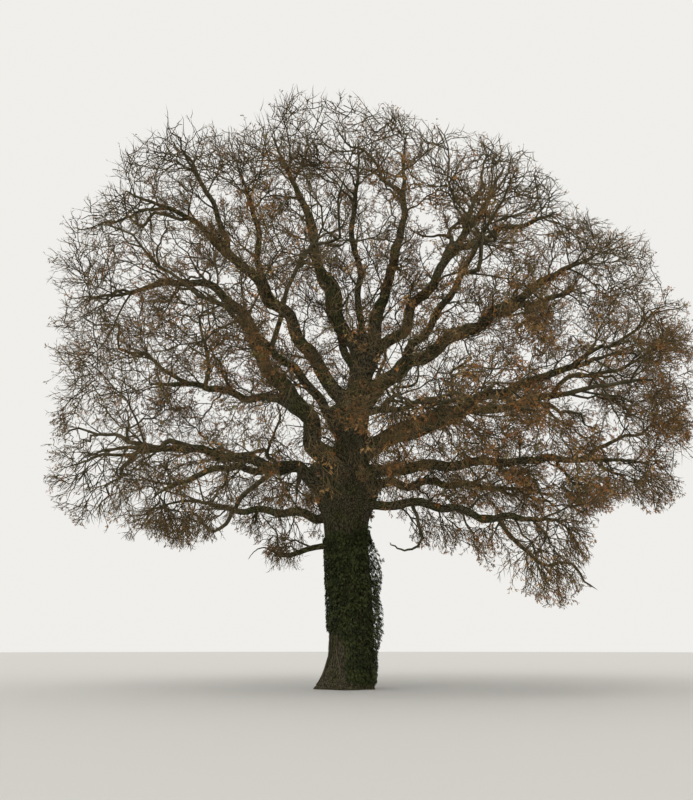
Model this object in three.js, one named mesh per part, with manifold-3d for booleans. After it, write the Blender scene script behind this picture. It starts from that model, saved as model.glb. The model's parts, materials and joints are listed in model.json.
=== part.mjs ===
// A big open-grown oak in early winter: an ivy-clad trunk with root flare, the main boughs that
// leave it, and at each bough's tip one mass of twigs that still holds some of its brown leaves.
// Sizes below are in metres. The finished solids are in millimetres, with +Z up, the trunk's flat
// cut at z = 0 and -Y towards the viewer. A bearing is in degrees from +X, turning towards +Y.

import * as THREE from "three";
import { mergeVertices } from "three/addons/utils/BufferGeometryUtils.js";
import Module from "manifold-3d";

const wasm = await Module();
wasm.setup();

// Driving sizes
const MM_PER_METRE = 1000;
const GAP = 0.0003; // clearance between neighbouring solids
const TURN = 2 * Math.PI;
const TREE_SEED = 7;
const IVY_SEED = 31;

const TRUNK_LINE = [
  [0, 0, 0],
  [-0.05, 0, 3],
  [-0.22, 0.05, 6],
  [0, 0.1, 9.2],
  [0.55, 0.1, 12.7],
];
const TRUNK_SIDES = 14;
const TRUNK_RINGS = 14;
const BOLE_RADIUS = 0.78; // over the clean bole
const CROTCH_RADIUS = 1.2; // where the lowest boughs leave
const CROTCH_HEIGHT = 7.1;
const CROTCH_SPAN = 0.8;
const TRUNK_TIP_RADIUS = 0.36;
const TAPER_START = 7.0; // the trunk thins from here to its tip
const TRUNK_TAPER = 0.75; // under 1, it thins fastest at first
const FLARE = 0.27; // what the root flare adds to the radius at the ground
const FLARE_LEAN = 0.9; // it spreads wider by this share on the left, and less on the right
const FLARE_HEIGHT = 0.6;
const BUTTRESSES = 5;
const BUTTRESS_BEARING = 180; // one of them stands here
const BUTTRESS_DEPTH = 0.12;
const BUTTRESS_SKEW = 0.8; // how unevenly the buttresses stand round the foot, in radians
const FLARE_CROWDING = 1.35; // over 1, the trunk's rings stand closer towards its foot

// The heart of the crown, which the twigs grow away from.
const HEART = new THREE.Vector3(0.3, 0, 10);

// The boughs by what they grow on. At is the height on the trunk, or the share of the length on a
// bough. The tip is a bearing, a reach from the origin and a height. Bow is how far the middle
// stands up and to the left of a straight line, radius is that at base and tip, and spread is the
// reach of the mass of twigs at the tip. A limb that only carries other boughs has no spread.
const BOUGHS = {
  trunk: {
    left_limb: { at: 7.0, tip: [188, 3.7, 12.8], bow: [0.1, 0], radius: [0.42, 0.23] },
    left_stem: { at: 10.0, tip: [172, 5.6, 17.5], bow: [0.3, 0], radius: [0.3, 0.17] },
    leader_left: { at: 12.3, tip: [204, 2.4, 19.0], bow: [-0.3, 0], radius: [0.28, 0.11], spread: 3.2 },
    leader_right: { at: 12.1, tip: [12, 2.2, 19.8], bow: [-0.3, -0.2], radius: [0.26, 0.1], spread: 3.1 },
    leader_middle: { at: 12.0, tip: [272, 3.2, 17.4], bow: [0.3, 0], radius: [0.15, 0.09], spread: 3.0 },
    right_high: { at: 11.9, tip: [8, 4.7, 17.8], bow: [-0.2, 0], radius: [0.25, 0.14], spread: 3.3 },
    right_upper: { at: 10.5, tip: [342, 7.9, 14.8], bow: [0.2, -0.1], radius: [0.32, 0.12], spread: 3.2 },
    right_limb: { at: 8.5, tip: [11, 9.3, 12.5], bow: [0.3, 0.2], radius: [0.3, 0.12], spread: 3.5 },
    right_mid: { at: 8.3, tip: [334, 8.0, 10.0], bow: [0.4, 0.1], radius: [0.25, 0.11], spread: 3.3 },
    right_level: { at: 7.6, tip: [2, 8.9, 8.4], bow: [0.2, 0], radius: [0.24, 0.11], spread: 3.5 },
    right_low: { at: 6.7, tip: [324, 7.0, 5.6], bow: [0.1, 0.2], radius: [0.19, 0.1], spread: 3.0 },
    right_low_back: { at: 7.2, tip: [38, 8.2, 8.0], bow: [0.2, 0.2], radius: [0.2, 0.1], spread: 3.2 },
    left_level: { at: 7.0, tip: [200, 7.3, 8.3], bow: [0.5, 0], radius: [0.27, 0.11], spread: 3.2 },
    left_low: { at: 6.2, tip: [147, 6.8, 7.1], bow: [-0.2, -0.1], radius: [0.2, 0.1], spread: 2.9 },
    left_stub: { at: 5.5, tip: [195, 2.9, 4.7], bow: [-0.1, 0.1], radius: [0.13, 0.08], spread: 1.5 },
    front_left: { at: 8.0, tip: [243, 7.3, 11.4], bow: [0.5, 0.3], radius: [0.22, 0.1], spread: 3.3 },
    front: { at: 7.4, tip: [278, 7.4, 8.8], bow: [0.5, -0.2], radius: [0.21, 0.1], spread: 3.3 },
    front_right: { at: 9.4, tip: [306, 6.5, 14.0], bow: [0.3, 0.3], radius: [0.21, 0.1], spread: 3.5 },
    back_left: { at: 7.8, tip: [108, 7.6, 8.6], bow: [0.5, 0.3], radius: [0.23, 0.11], spread: 3.4 },
    back_right: { at: 8.2, tip: [60, 8.0, 11.4], bow: [0.5, -0.3], radius: [0.22, 0.11], spread: 3.5 },
    back_upper: { at: 9.8, tip: [88, 7.0, 15.2], bow: [0.4, -0.3], radius: [0.22, 0.11], spread: 3.4 },
    back_top: { at: 11.0, tip: [112, 4.0, 18.4], bow: [0.2, 0.3], radius: [0.18, 0.1], spread: 3.2 },
  },
  left_limb: {
    left_arch: { at: 0.96, tip: [191, 8.0, 14.6], bow: [1.3, 0], radius: [0.2, 0.1], spread: 3.1 },
    left_back: { at: 0.56, tip: [154, 8.4, 12.2], bow: [0.1, -0.2], radius: [0.19, 0.1], spread: 3.4 },
  },
  left_stem: {
    left_upright: { at: 0.62, tip: [216, 4.6, 17.4], bow: [-0.1, -0.1], radius: [0.15, 0.09], spread: 3.1 },
    left_high: { at: 0.97, tip: [180, 7.5, 18.6], bow: [0.2, 0], radius: [0.13, 0.09], spread: 3.0 },
    left_crook: { at: 0.93, tip: [170, 6.4, 20.3], bow: [0.3, -0.2], radius: [0.13, 0.09], spread: 2.9 },
  },
  left_level: {
    left_front: { at: 0.36, tip: [226, 7.4, 6.8], bow: [0.1, 0.1], radius: [0.15, 0.09], spread: 3.1 },
  },
  right_upper: {
    right_outer: { at: 0.5, tip: [16, 9.2, 15.8], bow: [0.2, 0], radius: [0.16, 0.1], spread: 3.0 },
  },
  right_high: {
    right_high_out: { at: 0.88, tip: [354, 7.2, 17.7], bow: [0.1, 0], radius: [0.14, 0.09], spread: 2.8 },
  },
};
const THICK_BOUGH = 0.2; // boughs with at least this base radius get more sides and rings
const THICK_SIDES = 7;
const THIN_SIDES = 5;
const THICK_RINGS = 6;
const THIN_RINGS = 5;
const BOUGH_TAPER = 0.85; // under 1, a bough thins slowest at first
const COLLAR = 0.4; // the swelling where a bough leaves its parent
const COLLAR_SUNK = 0.8; // it starts at this share of the parent's radius
const COLLAR_LENGTH = 0.9; // and fades out over this share of the bough's own
const CROOK = 0.08; // how far a bough wanders off its smooth line
const CROOK_LENGTH = 5; // boughs shorter than this wander less
const CROOK_WAVES = 0.5; // how often it wanders in a metre, up and down
const CROOK_SIDEWAYS = 0.8; // and sideways, as a share of that
const BALL_STEP = 0.12; // between the balls that stand for a limb

// The rule by which twigs branch, one entry for each level from the stem outwards.
const TWIG_LEVELS = [
  { steps: 3, sides: 3, wander: 0.3, out: 0.12, children: 5, first: 0.04, last: 0.8, lean: 62, ratio: 0.95 },
  { steps: 2, sides: 3, wander: 0.3, out: 0.06, children: 2, first: 0.3, last: 0.9, lean: 50, ratio: 0.6 },
  { steps: 1, sides: 3, wander: 0.3, out: 0.1, children: 0 },
];
const SPIRAL = 137.5; // degrees between one twig and the next round its stem
const SPIRAL_LOOSE = 40; // and how far, in degrees, a twig may stand off that
const LEAN_LOOSE = 14; // how far its lean may differ, in degrees
const PLACE_LOOSE = 0.6; // how far along its stem it may slip, as a share of the spacing
const LENGTH_LOW = 1.15; // its length is the level's ratio times this low on its stem
const LENGTH_HIGH = 0.7; // and this at the top
const LENGTH_LOOSE = 0.15; // give or take this share
const SPACE_LEAD = 0.28; // a space's centre lies this share of its spread beyond the bough's tip
const SPACE_FLAT = 0.92; // its height as a share of its width
const SPACE_EDGE = 0.97; // twigs stop at this share of their space
const SPACE_MARGIN = 0.05; // and keep this far, as a share, from the next space
const DROOP_HEIGHT = 9; // twigs that start below this height bend down
const DROOP = 0.2;
const LIMB_CLEARANCE = 0.06;
const NEARBY = 1.3; // limbs within this share of a mass's spread are kept clear of
const TWIG_THICKNESS = 0.55; // a twig's base radius as a share of its parent's there
const TWIG_TAPER = 0.75; // the share of its radius that a twig loses by its tip
const LEAST_TWIG_RADIUS = 0.022;
const STEM_THICKNESS = 0.9; // the stem's base radius as a share of its bough's tip
const STEM_GUARD = 0.25; // the share of a stem that other masses' twigs keep clear of
const STEM_BALLS = 5;
const SHORT_STEP = 0.5; // a step that doesn't fit is tried once more at this share

// A blade that stands for a spray of brown leaves.
const SPRAY = { length: 0.65, width: 0.36, thickness: 0.06 };
const SPRAY_SUNK = 0.3; // the share of a spray that lies back over its twig
const SPRAY_CHANCE = 0.4; // how many of the outer twigs still hold their leaves

// The ivy round the bole.
const IVY_SIDES = 14;
const IVY_RINGS = 9;
const IVY_LOW = 0.3;
const IVY_HIGH = 5.7;
const IVY_THICK = 0.2;
const IVY_FOOT = 0.3; // the share of that thickness that it has at its foot
const IVY_FOOT_HEIGHT = 1.8; // it thickens round this height
const IVY_LEAN = 0.7; // it grows thicker by this share on the right, and thinner on the left
const IVY_BARE_BEARING = 200; // the low stretch of bark that it leaves open
const IVY_BARE_WIDTH = 50;
const IVY_BARE_HEIGHT = 1.9;
const IVY_BARE_DEPTH = 0.12;
const IVY_LUMPS = [
  { size: 0.25, round: 3, up: 1.7 },
  { size: 0.18, round: 5, up: -2.3 },
];
const IVY_LEAVES = 26;
const IVY_LEAF = { length: 0.42, width: 0.3, thickness: 0.05 };
const IVY_LEAF_BED = 0.1; // leaves only stand where the ivy is at least this thick
const IVY_LEAF_ROOT = 0.75; // they start at this share of its depth
const IVY_LEAF_DROP = 0.9; // how steeply they hang: the fall for each metre outwards

const BARK = { color: 0x4a4438, roughness: 0.95, metalness: 0 };
const TWIGS = { color: 0x6a4a30, roughness: 0.9, metalness: 0 };
const IVY = { color: 0x24331a, roughness: 0.6, metalness: 0 };

// Seeded draws and directions

// A number from 0 to 1 that depends on the seed and the channel alone.
function draw(seed, channel) {
  let h = Math.imul(seed ^ Math.imul(channel + 1, 0x9e3779b1), 0x85ebca6b) >>> 0;
  h = Math.imul(h ^ (h >>> 13), 0xc2b2ae35) >>> 0;
  h = Math.imul(h ^ (h >>> 16), 0x27d4eb2f) >>> 0;
  return ((h ^ (h >>> 15)) >>> 0) / 4294967296;
}

// A number from -1 to 1.
function sway(seed, channel) {
  return 2 * draw(seed, channel) - 1;
}

function childSeed(seed, index) {
  return Math.floor(draw(seed, 100 + index) * 4294967296) >>> 0;
}

function radians(degrees) {
  return (degrees * Math.PI) / 180;
}

function polar(bearing, reach, height) {
  const angle = radians(bearing);
  return new THREE.Vector3(reach * Math.cos(angle), reach * Math.sin(angle), height);
}

function direction(from, to) {
  return new THREE.Vector3().subVectors(to, from).normalize();
}

// Two directions square to a heading: a level one to its left, and one above it.
function squareTo(heading) {
  const left = new THREE.Vector3(-heading.y, heading.x, 0);
  if (left.lengthSq() < 1e-8) left.set(0, 1, 0);
  left.normalize();
  return [left, new THREE.Vector3().crossVectors(heading, left)];
}

// Solids

function solidFrom(geometry) {
  geometry.deleteAttribute("normal");
  geometry.deleteAttribute("uv");
  const merged = mergeVertices(geometry, 1e-6);
  return new wasm.Manifold(
    new wasm.Mesh({
      numProp: 3,
      vertProperties: merged.attributes.position.array,
      triVerts: new Uint32Array(merged.index.array),
    }),
  );
}

// Moves each vertex of a cylinder one unit high to place(share, angle, onRim), where share runs
// from 0 at its foot to 1 at its top.
function shapedCylinder(sides, rings, pointed, place) {
  const geometry = new THREE.CylinderGeometry(pointed ? 0 : 1, 1, 1, sides, rings);
  const position = geometry.attributes.position;
  for (let i = 0; i < position.count; i++) {
    const x = -position.getX(i);
    const y = position.getZ(i);
    const share = Math.round((position.getY(i) + 0.5) * rings) / rings;
    const moved = place(share, Math.atan2(y, x), Math.hypot(x, y) > 1e-6);
    position.setXYZ(i, moved.x, moved.y, moved.z);
  }
  return solidFrom(geometry);
}

// A closed limb along a line of points, with a radius at each. Extra makes it larger all over.
function limbSolid(line, radii, sides, pointed, extra = 0) {
  const last = line.length - 1;
  const frames = [];
  let left = squareTo(direction(line[0], line[1]))[0];
  for (let i = 0; i <= last; i++) {
    const along = direction(line[Math.max(0, i - 1)], line[Math.min(last, i + 1)]);
    left = left.clone().addScaledVector(along, -left.dot(along)).normalize();
    const up = new THREE.Vector3().crossVectors(along, left);
    const beyond = i === last ? extra : 0;
    frames.push({ centre: line[i].clone().addScaledVector(along, beyond), left, up });
  }
  return shapedCylinder(sides, last, pointed, (share, angle, onRim) => {
    const ring = Math.round(share * last);
    const { centre, left: across, up } = frames[ring];
    const radius = onRim ? radii[ring] + extra : 0;
    return centre
      .clone()
      .addScaledVector(across, radius * Math.cos(angle))
      .addScaledVector(up, radius * Math.sin(angle));
  });
}

// A flat blade with eight faces, which starts at its root and lies along the heading.
function bladeSolid(root, heading, roll, { length, width, thickness }) {
  const geometry = new THREE.OctahedronGeometry(1, 0);
  geometry.scale(length / 2, width / 2, thickness / 2);
  geometry.translate(length / 2, 0, 0);
  const [left, up] = squareTo(heading);
  const across = left.multiplyScalar(Math.cos(roll)).addScaledVector(up, Math.sin(roll));
  const face = new THREE.Vector3().crossVectors(heading, across);
  geometry.applyMatrix4(new THREE.Matrix4().makeBasis(heading, across, face).setPosition(root));
  return solidFrom(geometry);
}

// The largest body of a solid: scraps that a cut left loose are dropped.
function largestBody(solid) {
  return solid.decompose().reduce((best, one) => (one.volume() > best.volume() ? one : best));
}

function meshFrom(name, solid, look) {
  const { numProp, numVert, vertProperties, triVerts } = solid.getMesh();
  const position = new Float32Array(numVert * 3);
  for (let i = 0; i < numVert; i++) {
    position.set(vertProperties.subarray(i * numProp, i * numProp + 3), i * 3);
  }
  const geometry = new THREE.BufferGeometry();
  geometry.setAttribute("position", new THREE.BufferAttribute(position, 3));
  geometry.setIndex(new THREE.BufferAttribute(new Uint32Array(triVerts), 1));
  geometry.scale(MM_PER_METRE, MM_PER_METRE, MM_PER_METRE);
  geometry.computeVertexNormals();
  const mesh = new THREE.Mesh(geometry, new THREE.MeshStandardMaterial(look));
  mesh.name = name;
  return mesh;
}

// The trunk

const trunkCurve = new THREE.CatmullRomCurve3(
  TRUNK_LINE.map(([x, y, z]) => new THREE.Vector3(x, y, z)),
);
const TRUNK_HEIGHT = TRUNK_LINE.at(-1)[2];

// The point of the trunk's centreline at a height, found by halving.
function trunkPoint(height) {
  let low = 0;
  let high = 1;
  while (high - low > 1e-6) {
    const middle = (low + high) / 2;
    if (trunkCurve.getPoint(middle).z < height) low = middle;
    else high = middle;
  }
  return trunkCurve.getPoint(low).setZ(height);
}

function trunkRadius(height, angle) {
  const taper = Math.max(0, (height - TAPER_START) / (TRUNK_HEIGHT - TAPER_START));
  const body = THREE.MathUtils.lerp(BOLE_RADIUS, TRUNK_TIP_RADIUS, taper ** TRUNK_TAPER);
  const swell = (CROTCH_RADIUS - BOLE_RADIUS) * Math.exp(-(((height - CROTCH_HEIGHT) / CROTCH_SPAN) ** 2));
  const foot = Math.exp(-height / FLARE_HEIGHT);
  const round = BUTTRESSES * (angle - radians(BUTTRESS_BEARING)) + BUTTRESS_SKEW * Math.sin(angle);
  const buttress = BUTTRESS_DEPTH * Math.cos(round);
  const flare = FLARE * (1 - FLARE_LEAN * Math.cos(angle));
  return body + swell + foot * (flare + buttress);
}

// A point on a level ring round the trunk's centreline.
function roundTrunk(height, angle, radius) {
  const p = trunkPoint(height);
  return p.set(p.x + radius * Math.cos(angle), p.y + radius * Math.sin(angle), height);
}

// The trunk's rings are level, so that its foot is a flat cut at the ground, and they stand
// closer together at the flare.
function trunkSolid(extra) {
  return shapedCylinder(TRUNK_SIDES, TRUNK_RINGS, false, (share, angle, onRim) => {
    const height = TRUNK_HEIGHT * share ** FLARE_CROWDING;
    const radius = onRim ? trunkRadius(height, angle) + extra : 0;
    const p = roundTrunk(height, angle, radius);
    return share === 1 ? p.setZ(height + extra) : p;
  });
}

// The boughs

const boughs = {};

function makeBough(on, name, plan, index) {
  const parent = boughs[on];
  const start = parent ? boughPoint(parent, plan.at) : trunkPoint(plan.at);
  const parentRadius = parent ? boughRadius(parent, plan.at) : trunkRadius(plan.at, 0);
  const tip = polar(...plan.tip);
  const [left, up] = squareTo(direction(start, tip));
  const seed = childSeed(TREE_SEED, index);
  const thick = plan.radius[0] >= THICK_BOUGH;
  const rings = thick ? THICK_RINGS : THIN_RINGS;
  const sides = thick ? THICK_SIDES : THIN_SIDES;
  const length = start.distanceTo(tip);
  return { ...plan, name, start, tip, left, up, length, parentRadius, seed, rings, sides };
}

// A point on a bough's centreline, with share from 0 to 1: a bowed line that wanders a little.
function boughPoint(bough, share) {
  const { start, tip, left, up, length, bow, seed } = bough;
  const bent = 4 * share * (1 - share);
  const crook = CROOK * Math.min(1, length / CROOK_LENGTH) * Math.sin(Math.PI * share);
  const waves = TURN * CROOK_WAVES * length * share;
  const rise = crook * Math.sin(waves + TURN * draw(seed, 1));
  const drift = crook * Math.sin(CROOK_SIDEWAYS * waves + TURN * draw(seed, 2));
  return start
    .clone()
    .lerp(tip, share)
    .addScaledVector(up, bent * bow[0] + rise)
    .addScaledVector(left, bent * bow[1] + drift);
}

function boughRadius(bough, share) {
  const [base, end] = bough.radius;
  const past = Math.max(0, share * bough.length - COLLAR_SUNK * bough.parentRadius);
  const collar = 1 + COLLAR * Math.exp(-past / (COLLAR_LENGTH * base));
  return collar * (end + (base - end) * (1 - share) ** BOUGH_TAPER);
}

function boughSolid(bough, extra) {
  const shares = Array.from({ length: bough.rings + 1 }, (_, i) => i / bough.rings);
  return limbSolid(
    shares.map((share) => boughPoint(bough, share)),
    shares.map((share) => boughRadius(bough, share)),
    bough.sides,
    false,
    extra,
  );
}

// Balls along every limb, which the twigs keep clear of.
function limbBalls() {
  const balls = [];
  for (let height = 0; height <= TRUNK_HEIGHT; height += BALL_STEP) {
    balls.push({ owner: "trunk", at: trunkPoint(height), radius: trunkRadius(height, 0) });
  }
  for (const bough of Object.values(boughs)) {
    const count = Math.ceil(bough.length / BALL_STEP);
    for (let i = 0; i <= count; i++) {
      const share = i / count;
      const at = boughPoint(bough, share);
      balls.push({ owner: bough.name, at, radius: boughRadius(bough, share) });
    }
  }
  return balls;
}

// The masses of twigs

// The room that a mass keeps to: an ellipsoid that stands out from its bough's tip.
function spaceOf(bough) {
  const out = direction(HEART, bough.tip);
  const centre = bough.tip.clone().addScaledVector(out, SPACE_LEAD * bough.spread);
  return { centre, size: new THREE.Vector3(1, 1, SPACE_FLAT).multiplyScalar(bough.spread) };
}

// How far out in a space a point lies: 0 at its centre and 1 at its skin.
function depthIn(space, p) {
  return p.clone().sub(space.centre).divide(space.size).length();
}

function inOwnSpace(mass, p) {
  const own = depthIn(mass.space, p);
  if (own > SPACE_EDGE) return false;
  return mass.neighbours.every((other) => own < depthIn(other.space, p) - SPACE_MARGIN);
}

// How far it is from p along a heading to the edge of a space.
function roomAhead(space, p, heading) {
  const q = p.clone().sub(space.centre).divide(space.size);
  const d = heading.clone().divide(space.size);
  const a = d.dot(d);
  const b = q.dot(d);
  const root = b * b - a * (q.dot(q) - SPACE_EDGE ** 2);
  return root > 0 ? (Math.sqrt(root) - b) / a : 0;
}

function clearOfLimbs(mass, from, to, radius, ownBough) {
  const stretch = new THREE.Line3(from, to);
  const near = new THREE.Vector3();
  return mass.balls.every((ball) => {
    if (ball.owner === ownBough) return true;
    stretch.closestPointToPoint(ball.at, true, near);
    return near.distanceTo(ball.at) > ball.radius + radius + LIMB_CLEARANCE;
  });
}

// The line that a twig grows along. It wanders, bends outwards from the heart of the crown, and
// bends down low in the crown. It stops where it would leave its space or touch a limb.
function growLine(mass, twig) {
  const { steps, wander, out } = TWIG_LEVELS[twig.level];
  const line = [twig.start];
  const heading = twig.heading.clone();
  for (let i = 0; i < steps; i++) {
    const from = line[i];
    const atBough = twig.level === 0 && i === 0;
    if (!atBough) {
      heading.addScaledVector(direction(HEART, from), out);
      heading.x += wander * sway(twig.seed, 3 * i);
      heading.y += wander * sway(twig.seed, 3 * i + 1);
      heading.z += wander * sway(twig.seed, 3 * i + 2) - (from.z < DROOP_HEIGHT ? DROOP : 0);
      heading.normalize();
    }
    const ownBough = twig.level === 0 ? mass.bough.name : null;
    const fits = (to) =>
      (atBough || (inOwnSpace(mass, from.clone().lerp(to, 0.5)) && inOwnSpace(mass, to))) &&
      clearOfLimbs(mass, from, to, twig.radius, ownBough);
    const step = [1, SHORT_STEP]
      .map((share) => from.clone().addScaledVector(heading, (share * twig.length) / steps))
      .find(fits);
    if (!step) break;
    line.push(step);
  }
  return line;
}

function alongLine(line, share) {
  const place = share * (line.length - 1);
  const i = Math.min(line.length - 2, Math.floor(place));
  return line[i].clone().lerp(line[i + 1], place - i);
}

function headingAt(line, share) {
  const i = Math.min(line.length - 2, Math.floor(share * (line.length - 1)));
  return direction(line[i], line[i + 1]);
}

function twigRadius(twig, share) {
  return twig.radius * (1 - TWIG_TAPER * share);
}

// The stem carries straight on from its bough's tip, a gap away.
function stemOf(mass) {
  const { bough, space } = mass;
  const heading = direction(boughPoint(bough, 1 - 1 / bough.rings), bough.tip);
  const start = bough.tip.clone().addScaledVector(heading, GAP);
  const radius = STEM_THICKNESS * bough.radius[1];
  const length = roomAhead(space, start, heading);
  return { level: 0, seed: childSeed(bough.seed, 1), start, heading, length, radius };
}

// The twig that leaves a parent twig as the child number k.
function childTwig(mass, parent, k) {
  const { children, first, last, lean, ratio } = TWIG_LEVELS[parent.level];
  const seed = childSeed(parent.seed, k);
  const share = THREE.MathUtils.lerp(first, last, (k + PLACE_LOOSE * draw(seed, 20)) / children);
  const along = headingAt(parent.line, share);
  const [left, up] = squareTo(along);
  const turn = TURN * draw(parent.seed, 21) + radians(SPIRAL * k + SPIRAL_LOOSE * sway(seed, 22));
  const tilt = radians(lean + LEAN_LOOSE * sway(seed, 23));
  const heading = along
    .multiplyScalar(Math.cos(tilt))
    .addScaledVector(left, Math.sin(tilt) * Math.cos(turn))
    .addScaledVector(up, Math.sin(tilt) * Math.sin(turn));
  const start = alongLine(parent.line, share);
  const fall = THREE.MathUtils.lerp(LENGTH_LOW, LENGTH_HIGH, share);
  const wish = parent.length * ratio * fall * (1 + LENGTH_LOOSE * sway(seed, 24));
  const length = Math.min(wish, roomAhead(mass.space, start, heading));
  const radius = Math.max(LEAST_TWIG_RADIUS, TWIG_THICKNESS * twigRadius(parent, share));
  return { level: parent.level + 1, seed, start, heading, length, radius };
}

// Every twig of one mass, stem first.
function growTwigs(mass) {
  const grown = [];
  const waiting = [mass.stem];
  while (waiting.length) {
    const twig = waiting.shift();
    twig.line = growLine(mass, twig);
    if (twig.line.length < 2) continue;
    grown.push(twig);
    for (let k = 0; k < TWIG_LEVELS[twig.level].children; k++) {
      waiting.push(childTwig(mass, twig, k));
    }
  }
  return grown;
}

function twigSolid(twig) {
  const last = twig.line.length - 1;
  const radii = twig.line.map((_, i) => twigRadius(twig, i / last));
  return limbSolid(twig.line, radii, TWIG_LEVELS[twig.level].sides, true);
}

// The sprays of brown leaves, one at the end of each outer twig that has room for it.
function spraySolids(mass, twigs) {
  const made = [];
  for (const twig of twigs) {
    if (twig.level !== TWIG_LEVELS.length - 1 || draw(twig.seed, 31) > SPRAY_CHANCE) continue;
    const heading = headingAt(twig.line, 1);
    const root = twig.line.at(-1).clone().addScaledVector(heading, -SPRAY_SUNK * SPRAY.length);
    const tip = root.clone().addScaledVector(heading, SPRAY.length);
    if (!inOwnSpace(mass, tip) || !clearOfLimbs(mass, root, tip, SPRAY.width / 2, null)) continue;
    made.push(bladeSolid(root, heading, Math.PI * draw(twig.seed, 30), SPRAY));
  }
  return made;
}

function massSolid(mass) {
  const twigs = growTwigs(mass);
  const pieces = twigs.map(twigSolid).concat(spraySolids(mass, twigs));
  return largestBody(wasm.Manifold.union(pieces));
}

// The ivy

// How thick the ivy stands on the bark, below zero on the stretch that it leaves bare.
function ivyThickness(height, angle) {
  const share = (height - IVY_LOW) / (IVY_HIGH - IVY_LOW);
  const ends = Math.min(1, 5 * (1 - share), 0.35 + 8 * share);
  const lump = ({ size, round, up }) => size * Math.sin(round * angle + up * height);
  const lumps = IVY_LUMPS.reduce((sum, one) => sum + lump(one), 1);
  const turn = THREE.MathUtils.euclideanModulo(angle - radians(IVY_BARE_BEARING) + Math.PI, TURN);
  const beside = Math.abs(turn - Math.PI) / radians(IVY_BARE_WIDTH);
  const { smoothstep } = THREE.MathUtils;
  const above = smoothstep(height / IVY_BARE_HEIGHT, 0.8, 1.2);
  const cover = Math.min(1, smoothstep(beside, 0.7, 1.3) + above);
  const lean = 1 + IVY_LEAN * Math.cos(angle);
  const fullness = smoothstep(height / IVY_FOOT_HEIGHT, 0.7, 1.3);
  const thick = IVY_THICK * THREE.MathUtils.lerp(IVY_FOOT, 1, fullness);
  return thick * ends * lumps * lean * cover - IVY_BARE_DEPTH * (1 - cover);
}

function ivyLeafSolids() {
  const made = [];
  for (let k = 0; k < IVY_LEAVES; k++) {
    const seed = childSeed(IVY_SEED, k);
    const height = THREE.MathUtils.lerp(IVY_LOW + 0.5, IVY_HIGH - 0.3, (k + 0.5) / IVY_LEAVES);
    const angle = radians(SPIRAL * k + 20 * sway(seed, 1));
    const thickness = ivyThickness(height, angle);
    if (thickness < IVY_LEAF_BED) continue;
    const root = roundTrunk(height, angle, trunkRadius(height, angle) + IVY_LEAF_ROOT * thickness);
    const fall = IVY_LEAF_DROP + 0.5 * sway(seed, 2);
    const heading = new THREE.Vector3(Math.cos(angle), Math.sin(angle), -fall).normalize();
    made.push(bladeSolid(root, heading, 0, IVY_LEAF));
  }
  return made;
}

function ivySolid(limbs) {
  const sleeve = shapedCylinder(IVY_SIDES, IVY_RINGS, false, (share, angle, onRim) => {
    const height = THREE.MathUtils.lerp(IVY_LOW, IVY_HIGH, share);
    const radius = onRim ? trunkRadius(height, angle) + ivyThickness(height, angle) : 0;
    return roundTrunk(height, angle, radius);
  });
  const grown = wasm.Manifold.union([sleeve, ...ivyLeafSolids()]);
  return largestBody(limbs.reduce((solid, limb) => solid.subtract(limb), grown));
}

// The whole tree

const tree = new THREE.Group();
tree.add(meshFrom("trunk", trunkSolid(0), BARK));

// Each bough is cut clear of the trunk and of the boughs made before it.
const limbs = [trunkSolid(GAP)];
for (const [on, plans] of Object.entries(BOUGHS)) {
  for (const [name, plan] of Object.entries(plans)) {
    const bough = makeBough(on, name, plan, limbs.length - 1);
    boughs[name] = bough;
    const cut = limbs.reduce((solid, limb) => solid.subtract(limb), boughSolid(bough, 0));
    tree.add(meshFrom("bough_" + name, largestBody(cut), BARK));
    limbs.push(boughSolid(bough, GAP));
  }
}

const masses = Object.values(boughs)
  .filter((bough) => bough.spread)
  .map((bough) => ({ bough, space: spaceOf(bough) }));
for (const mass of masses) mass.stem = stemOf(mass);

// Twigs keep clear of the other masses' stems as they do of limbs.
const balls = limbBalls();
for (const { bough, stem } of masses) {
  for (let i = 0; i < STEM_BALLS; i++) {
    const past = (STEM_GUARD * stem.length * i) / (STEM_BALLS - 1);
    const at = stem.start.clone().addScaledVector(stem.heading, past);
    balls.push({ owner: "stem_" + bough.name, at, radius: stem.radius });
  }
}
for (const mass of masses) {
  const { centre, size } = mass.space;
  const own = "stem_" + mass.bough.name;
  mass.neighbours = masses.filter(
    (other) => other !== mass && other.space.centre.distanceTo(centre) < size.x + other.space.size.x,
  );
  mass.balls = balls.filter(
    (ball) => ball.owner !== own && ball.at.distanceTo(centre) < NEARBY * size.x + ball.radius,
  );
  tree.add(meshFrom("twigs_" + mass.bough.name, massSolid(mass), TWIGS));
}
tree.add(meshFrom("ivy", ivySolid(limbs), IVY));

export default tree;
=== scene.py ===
# A big open-grown oak in early winter: an ivy-clad trunk with furrowed bark, crooked boughs, and
# a crown of branches and twigs that still holds many of its dry brown leaves.
# Sizes are in metres, with +Z up, the trunk's foot at z = 0 and -Y towards the viewer.

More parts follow.
